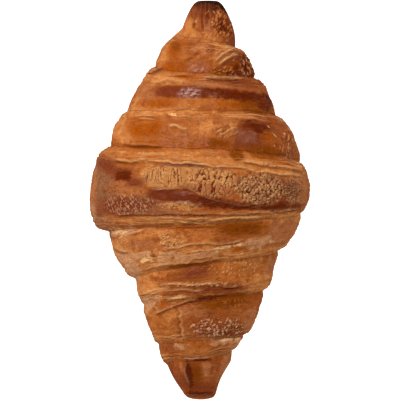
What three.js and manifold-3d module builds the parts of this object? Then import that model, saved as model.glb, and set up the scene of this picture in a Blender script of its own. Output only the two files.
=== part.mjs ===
// A straight butter croissant: one long triangle of laminated dough rolled up from its base, so that each
// turn leaves a free edge nearer the middle, and the point of the triangle ends tucked under the roll.
// Millimetres, +Z up, +Y along the roll. The origin is on the floor under the middle of the croissant.

import * as THREE from 'three';
import loadManifold from 'manifold-3d';
import { mergeVertices } from 'three/addons/utils/BufferGeometryUtils.js';

// Overall sizes
const LENGTH = 160;
const WIDTH = 88;
const HEIGHT = 60;

// The roll's axis: its height above the floor, and where its tips start to bend to one side
const AXIS_MIDDLE = 26;
const AXIS_TIP = 14;
const BEND_START = 45;
const BEND_END = 70;

// Cross-section: how far the roll reaches above and below its axis, as a share of its half-width
const CROWN_SHARE = (HEIGHT - AXIS_MIDDLE) / (WIDTH / 2);
const BELLY_SHARE = 0.73;
const TIP_SHARE = 0.95;
const SQUARENESS = 2.25;

// Each arm of the roll, from its tip inwards. A turn's free edge runs round the roll like a screw thread.
// crease: how deep the creases under the free edges are, as a share of the deepest.
// nub: the bare tip of the roll, with the length of its rounded end, and how it grows from there.
// edge: the edge's distance from mid-length at the left side, the crown and the right side.
// half: the half-width that the turn swells to at the left side and the right side.
// fullness: how the turn swells behind its edge, left and right, from 1, a straight slope, to 2, round.
const FAR_ARM = {
  direction: 1,
  bend: 3.1,
  crease: 0.5,
  nub: { dome: 0.8, endHalf: 2.9, half: 12.2, length: 20, fullness: 1.6 },
  turns: [
    { edge: [66.2, 63.4, 60.2], half: [18.3, 21.9], fullness: [1.45, 1.6] },
    { edge: [53.0, 49.8, 48.4], half: [28.6, 30.2], fullness: [1.0, 1.45] },
    { edge: [35.0, 35.0, 33.2], half: [35.9, 39.2], fullness: [1.3, 1.4] },
    { edge: [21.0, 19.8, 14.2], half: [WIDTH / 2, WIDTH / 2], fullness: [1.8, 1.5] },
  ],
};
const NEAR_ARM = {
  direction: -1,
  bend: -1.0,
  crease: 1,
  nub: { dome: 2.6, endHalf: 6.2, half: 12.6, length: 13.5, fullness: 1.0 },
  turns: [
    { edge: [64.6, 63.4, 59.8], half: [16.4, 16.8], fullness: [1.2, 1.2] },
    { edge: [57.4, 55.4, 53.2], half: [22.6, 25.4], fullness: [1.4, 1.3] },
    { edge: [41.6, 38.8, 35.6], half: [25.6, 31.2], fullness: [1.35, 1.5] },
    { edge: [30.8, 25.4, 19.4], half: [35.8, 40.0], fullness: [1.25, 1.6] },
    { edge: [12.4, 9.0, 4.6], half: [WIDTH / 2, WIDTH / 2], fullness: [2.4, 1.7] },
  ],
};
const TAIL_POINT = 5;

// The free edge of a turn: a lip over a crease, faint where the edge starts and at the tail's point
const LIP_SHARE = 0.2;
const CREASE_DEPTH = 0.8;
const UNDERCUT = 1.1;
const CREASE_GAP = 0.7;
const EDGE_START_TURNS = 0.25;
const NARROW_TURN = 8;

// A second thin sheet of dough behind each free edge, which leaves a ledge that wanders round the roll
const SHEET_THICKNESS = 0.7;
const LEDGE_SHARE = 0.27;
const LEDGE_SLOPE = 0.03;
const LEDGE_WANDER = 0.07;
const LEDGE_WAVES = 1.37;

// The slow unevenness of hand rolling
const UNEVEN = 0.5;
const UNEVEN_WAVES = 6;

// Facets: columns round one turn, rows across a turn as shares of its width, and rings on a tip's rounded end
const COLUMNS = 48;
const EDGE_ROWS = [0, 0.05, 0.13];
const SWELL_ROWS = [0.45, 0.64, 0.82, 1];
const ROWS = EDGE_ROWS.length + SWELL_ROWS.length + 3;
const TIP_RINGS = [0.8, 0.45];

const FULL_TURN = 2 * Math.PI;
const CRUST = { color: 0xa9622b, roughness: 0.45, metalness: 0 };
const { clamp, lerp, smoothstep } = THREE.MathUtils;

// A smooth curve through evenly spaced values that never overshoots them
function through(values) {
  const steps = values.slice(1).map((value, i) => value - values[i]);
  const slope = (i) => {
    const before = steps[Math.max(i - 1, 0)];
    const after = steps[Math.min(i, steps.length - 1)];
    return before * after > 0 ? (2 * before * after) / (before + after) : 0;
  };
  return (x) => {
    const i = clamp(Math.floor(x), 0, steps.length - 1);
    const t = clamp(x - i, 0, 1);
    const leave = t * (1 - t) * (1 - t) * slope(i);
    const arrive = t * t * (t - 1) * slope(i + 1);
    return values[i] + smoothstep(t, 0, 1) * steps[i] + leave + arrive;
  };
}

// Where a tip's rounded end starts, as a distance from mid-length
function tipEnd(arm) {
  return LENGTH / 2 - arm.nub.dome;
}

// The free edge's distance from mid-length, by quarter turns from the tip
function edgeCurve(arm) {
  const keys = Array(5).fill(tipEnd(arm));
  arm.turns.forEach(({ edge }, k) => {
    const next = arm.turns[k + 1];
    keys.push(...edge, next ? (edge[2] + next.edge[0]) / 2 : arm.direction * TAIL_POINT);
  });
  return through(keys);
}

// A value that every turn has at its left side and its right side, by quarter turns from the tip
function sidesCurve(arm, name, start) {
  const keys = Array(5).fill(start);
  arm.turns.forEach((turn, k) => {
    const [left, right] = turn[name];
    const next = arm.turns[k + 1];
    keys.push(left, (left + right) / 2, right, next ? (right + next[name][0]) / 2 : right);
  });
  return through(keys);
}

// A rise from 0 to 1 that is straight at fullness 1 and a quarter of a circle at fullness 2
function swelling(share, fullness) {
  return (1 - (1 - share) ** fullness) ** (1 / fullness);
}

function nubHalf(arm, along) {
  const { endHalf, half, length, fullness } = arm.nub;
  const share = clamp((tipEnd(arm) - along) / length, 0, 1);
  return lerp(endHalf, half, swelling(share, fullness));
}

// Slow lumps that no two turns share
function uneven(angle, y) {
  let sum = 0;
  for (let wave = 1; wave <= UNEVEN_WAVES; wave++) {
    sum += Math.sin(wave * (angle + 1.7 * wave) + (0.05 + 0.04 * wave) * y) / wave;
  }
  return UNEVEN * sum;
}

// A point of the skin: the section at one distance along the roll, from the floor round by the left side,
// the crown and the right side
function skinPoint(arm, angle, along, half) {
  const out = Math.abs(along) / (LENGTH / 2);
  const axisX = arm.bend * smoothstep(along, BEND_START, BEND_END);
  const axisZ = lerp(AXIS_MIDDLE, AXIS_TIP, out * out);
  const sine = Math.sin(angle);
  const cosine = Math.cos(angle);
  const reach = lerp(cosine < 0 ? CROWN_SHARE : BELLY_SHARE, TIP_SHARE, out * out);
  const square = (Math.abs(sine) ** SQUARENESS + Math.abs(cosine) ** SQUARENESS) ** (-1 / SQUARENESS);
  const y = arm.direction * along;
  const size = half * square + uneven(angle, y) * clamp(half / NARROW_TURN - 0.5, 0, 1);
  return [axisX - size * sine, y, axisZ - size * reach * cosine];
}

// Rows across a turn behind its lip, with two that follow the ledge
function rowShares(turns) {
  const foot = LEDGE_SHARE + LEDGE_WANDER * Math.sin(FULL_TURN * LEDGE_WAVES * turns);
  return { foot, shares: [...EDGE_ROWS, foot, foot + LEDGE_SLOPE, ...SWELL_ROWS] };
}

// One arm's strip of visible dough: columns along the screw thread, rows from one free edge to the next
function armStrip(arm) {
  const edge = edgeCurve(arm);
  const swell = sidesCurve(arm, 'half', arm.nub.half);
  const full = sidesCurve(arm, 'fullness', 1);
  const lastTurn = arm.turns.length;
  const pointAt = (column, row) => {
    const turns = column / COLUMNS;
    const angle = FULL_TURN * turns;
    const onLast = turns >= lastTurn;
    const start = edge(4 * turns);
    const width = start - (onLast ? arm.direction * TAIL_POINT : edge(4 * (turns + 1)));
    const taper = onLast ? Math.min(1, width / NARROW_TURN) : 1;
    const fade = taper * smoothstep(turns, 1, 1 + EDGE_START_TURNS);
    const beneath = (along) => (turns < 2 ? nubHalf(arm, along) : swell(4 * (turns - 1)));
    if (row === 0) {
      const along = start - UNDERCUT * arm.crease * fade;
      return skinPoint(arm, angle, along, beneath(along) - CREASE_DEPTH * arm.crease * fade);
    }
    const { foot, shares } = rowShares(turns);
    const share = shares[row - 1];
    const along = start - (width - (onLast ? 0 : Math.min(CREASE_GAP, width / 2))) * share;
    const rise = lerp(LIP_SHARE, 1, swelling(share, full(4 * turns))) * (swell(4 * turns) - beneath(along));
    const drop = share <= foot ? SHEET_THICKNESS * smoothstep(share, 0, foot) : 0;
    return skinPoint(arm, angle, along, beneath(along) + (rise - drop) * fade);
  };
  return { columns: COLUMNS * (lastTurn + 1), pointAt };
}

// The whole skin as one closed mesh: both arms' strips, joined along the middle of the last turn
function rolledSkin() {
  const positions = [];
  const triangles = [];
  const addPoint = (point) => positions.push(...point) / 3 - 1;
  const seam = [];
  [FAR_ARM, NEAR_ARM].forEach((arm) => {
    const { columns, pointAt } = armStrip(arm);
    const seamStart = columns - COLUMNS;
    if (!seam.length) {
      for (let j = 0; j < COLUMNS; j++) seam.push(addPoint(pointAt(seamStart + j, ROWS - 1)));
    }
    const own = [];
    for (let c = 0; c < columns; c++) {
      const rows = c === 0 ? 1 : ROWS - 1;
      own.push(Array.from({ length: rows }, (_, row) => addPoint(pointAt(c, row))));
    }
    // The strip has no width at its first column, and none at the tail's point
    const vertex = (c, row) => {
      if (c === 0 || (c === COLUMNS && row === 0)) return own[0][0];
      if (c === columns) return seam[0];
      if (row < ROWS - 1) return own[c][row];
      return c >= seamStart ? seam[c - seamStart] : vertex(c + COLUMNS, 0);
    };
    const addTriangle = (a, b, c) => {
      if (a === b || b === c || c === a) return;
      triangles.push(...(arm.direction > 0 ? [a, b, c] : [a, c, b]));
    };
    for (let c = 0; c < columns; c++) {
      for (let row = 0; row < ROWS - 1; row++) {
        addTriangle(vertex(c, row), vertex(c + 1, row + 1), vertex(c + 1, row));
        addTriangle(vertex(c, row), vertex(c, row + 1), vertex(c + 1, row + 1));
      }
    }
    let ring = Array.from({ length: COLUMNS }, (_, c) => vertex(c, 0));
    TIP_RINGS.forEach((share) => {
      const along = tipEnd(arm) + arm.nub.dome * Math.sqrt(1 - share * share);
      const angleOf = (c) => (FULL_TURN * c) / COLUMNS;
      const inner = ring.map((_, c) => addPoint(skinPoint(arm, angleOf(c), along, arm.nub.endHalf * share)));
      inner.forEach((point, c) => {
        const next = (c + 1) % COLUMNS;
        addTriangle(point, ring[c], ring[next]);
        addTriangle(point, ring[next], inner[next]);
      });
      ring = inner;
    });
    const tip = addPoint(skinPoint(arm, 0, LENGTH / 2, 0));
    ring.forEach((point, c) => addTriangle(tip, point, ring[(c + 1) % COLUMNS]));
  });
  return { positions, triangles };
}

// Joins and cuts need closed solids with shared corners
function solidOf(wasm, positions, triangles) {
  const mesh = new wasm.Mesh({
    numProp: 3,
    vertProperties: Float32Array.from(positions),
    triVerts: Uint32Array.from(triangles),
  });
  return new wasm.Manifold(mesh);
}

function boxSolid(wasm, size, centre) {
  const box = new THREE.BoxGeometry(...size).translate(...centre);
  box.deleteAttribute('normal');
  box.deleteAttribute('uv');
  const merged = mergeVertices(box);
  return solidOf(wasm, merged.attributes.position.array, merged.index.array);
}

// The roll settles on the tray while it bakes, which leaves a flat base
async function croissantGeometry() {
  const wasm = await loadManifold();
  wasm.setup();
  const skin = rolledSkin();
  const roll = solidOf(wasm, skin.positions, skin.triangles);
  const aboveTray = boxSolid(wasm, [2 * WIDTH, 2 * LENGTH, 2 * HEIGHT], [0, 0, HEIGHT]);
  const baked = roll.intersect(aboveTray).getMesh();
  const geometry = new THREE.BufferGeometry();
  geometry.setAttribute('position', new THREE.BufferAttribute(baked.vertProperties, 3));
  geometry.setIndex(new THREE.BufferAttribute(baked.triVerts, 1));
  geometry.computeBoundingBox();
  const centre = geometry.boundingBox.getCenter(new THREE.Vector3());
  geometry.translate(-centre.x, -centre.y, 0);
  geometry.computeVertexNormals();
  return geometry;
}

const croissant = new THREE.Mesh(await croissantGeometry(), new THREE.MeshStandardMaterial(CRUST));
croissant.name = 'croissant';

const part = new THREE.Group();
part.add(croissant);

export default part;
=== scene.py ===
"""A straight butter croissant: its rolled, layered crust with crackled glaze and blisters."""

import math
from typing import NamedTuple

import bpy
import numpy as np
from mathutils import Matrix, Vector


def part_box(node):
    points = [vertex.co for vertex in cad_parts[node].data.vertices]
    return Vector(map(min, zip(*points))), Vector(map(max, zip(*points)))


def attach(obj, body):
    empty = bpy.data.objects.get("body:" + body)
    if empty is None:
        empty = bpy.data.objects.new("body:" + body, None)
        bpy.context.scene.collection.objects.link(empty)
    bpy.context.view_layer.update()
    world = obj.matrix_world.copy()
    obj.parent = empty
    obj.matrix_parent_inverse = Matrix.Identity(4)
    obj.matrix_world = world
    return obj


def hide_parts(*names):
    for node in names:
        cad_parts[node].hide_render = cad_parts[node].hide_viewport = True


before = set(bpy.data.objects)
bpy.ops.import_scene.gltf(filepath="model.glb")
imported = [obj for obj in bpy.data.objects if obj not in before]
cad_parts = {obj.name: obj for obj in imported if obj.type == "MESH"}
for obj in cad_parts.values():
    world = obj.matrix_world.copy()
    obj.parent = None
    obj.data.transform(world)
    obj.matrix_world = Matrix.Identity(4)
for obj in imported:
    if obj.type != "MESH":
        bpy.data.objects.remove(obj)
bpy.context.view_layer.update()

bl_info = {
    "name": "Butter Croissant",
    "version": (1, 0, 0),
    "blender": (4, 5, 0),
    "location": "View3D > Sidebar > Croissant",
    "description": "Dresses a croissant's solid with layered dough, crackled glaze and blisters",
    "category": "Object",
}

NODE = "croissant"
BODY = "root"
MM = 0.001
FULL_TURN = 2 * math.pi

# Overall sizes of the roll in whole millimetres, because the solid's facets cut its outline a little
WIDTH, LENGTH, HEIGHT = (round((high - low) / MM) for low, high in zip(*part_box(NODE)))

# The photo's frame: its pixels, and the real size of one
PHOTO_SIDE = 400
PIXEL = LENGTH / PHOTO_SIDE
PHOTO_MIDDLE = (PHOTO_SIDE - 1) / 2

# The roll's axis: its height above the floor, and where its tips start to bend to one side
AXIS_MIDDLE = 26.0
AXIS_TIP = 14.0
BEND_START = 45.0
BEND_END = 70.0

# Cross-section: how far the roll reaches above and below its axis, as a share of its half-width
CROWN_SHARE = (HEIGHT - AXIS_MIDDLE) / (WIDTH / 2)
BELLY_SHARE = 0.73
TIP_SHARE = 0.95
SQUARENESS = 2.25

# The turns of the near arm are numbered on from here, those of the far arm from 0
NEAR_TURNS = 10


class Swing(NamedTuple):
    """A value that noise swings about its mean, between a least and a greatest one."""

    mean: float
    swing: float
    least: float
    most: float

    def by(self, noise):
        return np.clip(self.mean + self.swing * noise, self.least, self.most)


class Nub(NamedTuple):
    """The bare tip of the roll: the length of its rounded end, and how its half-width grows from there."""

    dome: float
    end_half: float
    half: float
    length: float
    fullness: float


class Turn(NamedTuple):
    """One turn of the roll: how far its free edge is from mid-length, and how it swells behind that."""

    edge: tuple  # at the left side, the crown and the right side
    half: tuple  # at the left side and the right side
    fullness: tuple  # at both sides, from 1, a straight slope, to 2, round


class Arm(NamedTuple):
    """Half of the roll, from its tip inwards."""

    direction: int  # the way its tip points along the length
    seed: int  # of its waves and wrinkles
    first_turn: int  # the number of its bare tip
    bend: float  # how far its tip bends aside
    hook: float  # how much further the very end bends
    crease: float  # its creases' share of the greatest depth
    nub: Nub
    turns: tuple


FAR_ARM = Arm(
    direction=1,
    seed=20,
    first_turn=0,
    bend=3.1,
    hook=0.0,
    crease=0.25,
    nub=Nub(dome=0.5, end_half=4.5, half=12.3, length=20.0, fullness=1.4),
    turns=(
        Turn((65.6, 63.4, 60.2), (18.3, 21.9), (1.55, 1.6)),
        Turn((53.0, 49.8, 48.4), (28.6, 30.2), (1.0, 1.45)),
        Turn((35.0, 35.0, 33.2), (35.9, 39.2), (1.3, 1.4)),
        Turn((21.0, 19.8, 14.2), (WIDTH / 2, WIDTH / 2), (1.8, 1.5)),
    ),
)
NEAR_ARM = Arm(
    direction=-1,
    seed=60,
    first_turn=NEAR_TURNS,
    bend=-1.0,
    hook=1.2,
    crease=0.25,
    nub=Nub(dome=2.2, end_half=6.4, half=12.6, length=13.5, fullness=1.0),
    turns=(
        Turn((64.6, 63.4, 59.8), (16.4, 16.8), (1.2, 1.2)),
        Turn((57.4, 55.4, 53.2), (22.6, 25.4), (1.4, 1.3)),
        Turn((41.6, 38.8, 35.6), (25.6, 31.2), (1.35, 1.5)),
        Turn((30.8, 25.4, 19.4), (35.8, 40.0), (1.25, 1.6)),
        Turn((12.4, 9.0, 4.6), (WIDTH / 2, WIDTH / 2), (2.4, 1.7)),
    ),
)
LAST_FAR_TURN = len(FAR_ARM.turns)
LAST_NEAR_TURN = NEAR_TURNS + len(NEAR_ARM.turns)
TAIL_POINT = 5.0  # where along the length both arms meet in the dough's tail

# The free edge of a turn: a rounded lip over a crease, faint where the edge starts and at the tail's point
EDGE_START_TURNS = 0.25
EDGE_RIPPLES = ((11.0, 1.0), (3.5, 0.5))  # length, and share of the edge's wave
NARROW_TURN = 8.0  # width from which the tail's lip is full
LIP_SHARE = (0.1, 0.2)  # of the growth of a turn, over the crown and at the sides
LIP_ROWS = ((0.0, 0.35), (0.3, 0.7), (0.6, 0.95))  # distance behind the edge, and share of the lip's height
PRESSED = (0.5, 6.0)  # heights above the tray between which a lip grows to its full form
CREASE_DEPTH = 0.8
CREASE_AHEAD = 0.35
CREASE_GAP = 0.7
CREASE_SHADE = (1.0, 0.7)  # how dark its bottom and the foot of the lip are, in deeper browning and painted shade
CREASE_WAVE = 9.0
CREASE_OPEN = Swing(0.45, 0.9, 0.1, 1.0)  # share of its depth along a crease

# Thin sheets behind a free edge: how far back they reach, as a share of the way to the next edge
SHEETS_REACH = 0.27
SHEETS_SWAY = 0.07
SHEETS_SWAY_WAVES = 1.37  # in each turn
SHEETS_RIPPLES = ((13.0, 0.035), (4.0, 0.02))
SHEET_ENDS = ((0.30, 0.35), (0.62, 0.45), (1.0, 0.70))  # share of that reach, and thickness
SHEET_FIRST_ROW = 0.1
SHEET_SLOPE = 0.05
SHEET_SHOWS = 0.7  # mean share of its thickness, which swings along the thread
SHEET_SWING = 0.6
SHEET_WAVE = 16.0
SHEETS_APART = 7  # lumps of noise from one sheet to the next
JUST_PAST = 1.001  # takes in the row right at a sheet's end

# Wrinkles and lumps of the skin: their length along the thread, their width, and a wrinkle's share
WRINKLES = ((5.0, 1.3, 1.0), (2.2, 0.9, 0.6))
LUMP = (9.0, 6.0)
RELIEF_START = (0.02, 0.15)  # shares of the way to the next edge between which they grow
RELIEF_END = (0.0, 0.1)  # and those before that edge between which they end

# What is added to an arm's seed for each kind of unevenness
SHEETS_SEED = 2
SHEET_SEED = 4
RELIEF_SEED = 5
CREASE_SEED = 8

# The slow unevenness of hand rolling: waves round the roll that twist along it
UNEVEN = 0.5
UNEVEN_WAVES = 6
UNEVEN_START = 1.7
UNEVEN_TWIST = (0.05, 0.04)  # radians a millimetre, and what each wave adds
UNEVEN_LEAST = 0.5  # half-width up to which there is none, as a share of a narrow turn

# Columns round a turn are closest over the crown: share of the columns, and share of the turn from the floor
COLUMN_SHARES = (0.0, 0.05, 0.17, 0.83, 0.95, 1.0)
TURN_SHARES = (0.0, 0.14, 0.27, 0.73, 0.86, 1.0)
SWELL_ROWS = 17  # from the thin sheets to the next edge
TIP_RINGS = 6  # that close a rounded tip
KEYS_PER_TURN = 4  # values that a curve along the thread goes through
CAP_VALUES = {"ahead": NARROW_TURN}  # where they differ from those of the tip's first point

GRAIN_CELLS = 128  # lumps after which noise repeats
GRAIN_GAIN = 1.5  # brings the noise up to about 1
SCATTER = (0.1, 0.9)  # where in its cell a scattered point may lie
LEAST_COVER = 1e-6  # both keep a division clear of zero
LEAST_LENGTH = 1e-12
MIX_SHARE, MIX_A, MIX_B, MIX_RESULT = 0, 6, 7, 2  # a mix node's sockets for colours

# The curve of 8-bit screen values, which is straight up to its toe
SCREEN_WHITE = 255
SCREEN_TOE = 0.04045
SCREEN_TOE_SLOPE = 12.92
SCREEN_OFFSET = 0.055
SCREEN_POWER = 2.4

# Kinds of attribute by the numbers that a point has
ATTRIBUTE_KINDS = {1: ("FLOAT", "value"), 3: ("FLOAT_VECTOR", "vector"), 4: ("FLOAT_COLOR", "color")}


class Finish(NamedTuple):
    """How a tone of the crust looks apart from its colour."""

    gloss: float  # from 0, dry, to 1, egg-washed and shiny
    blur: float  # millimetres over which its border fades
    ragged: float  # how uneven its border is


# Later tones lie over earlier ones
FINISHES = {
    "dull": Finish(0.2, 2.6, 0.9),
    "brown": Finish(0.5, 1.9, 0.6),
    "honey": Finish(0.45, 1.7, 0.6),
    "rose": Finish(0.4, 1.2, 0.5),
    "pale": Finish(0.25, 1.3, 0.7),
    "tan": Finish(0.3, 0.7, 0.8),
    "grey": Finish(0.15, 0.8, 0.6),
    "amber": Finish(0.5, 1.4, 0.7),
    "window": Finish(0.55, 1.1, 0.7),
    "plum": Finish(0.5, 1.8, 0.7),
    "bruise": Finish(0.8, 1.2, 0.7),
    "glaze": Finish(0.8, 0.6, 0.35),
    "dark": Finish(0.4, 0.7, 0.45),
    "char": Finish(0.4, 1.0, 0.6),
    "cream": Finish(0.1, 0.5, 0.8),
    "burnt": Finish(0.2, 1.1, 0.35),
}


class Patch(NamedTuple):
    """A spot on the crust where the photo shows another tone: its middle and half-sizes, in photo pixels."""

    at: tuple
    reach: tuple
    tilt: float = 0.0  # degrees anticlockwise
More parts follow.
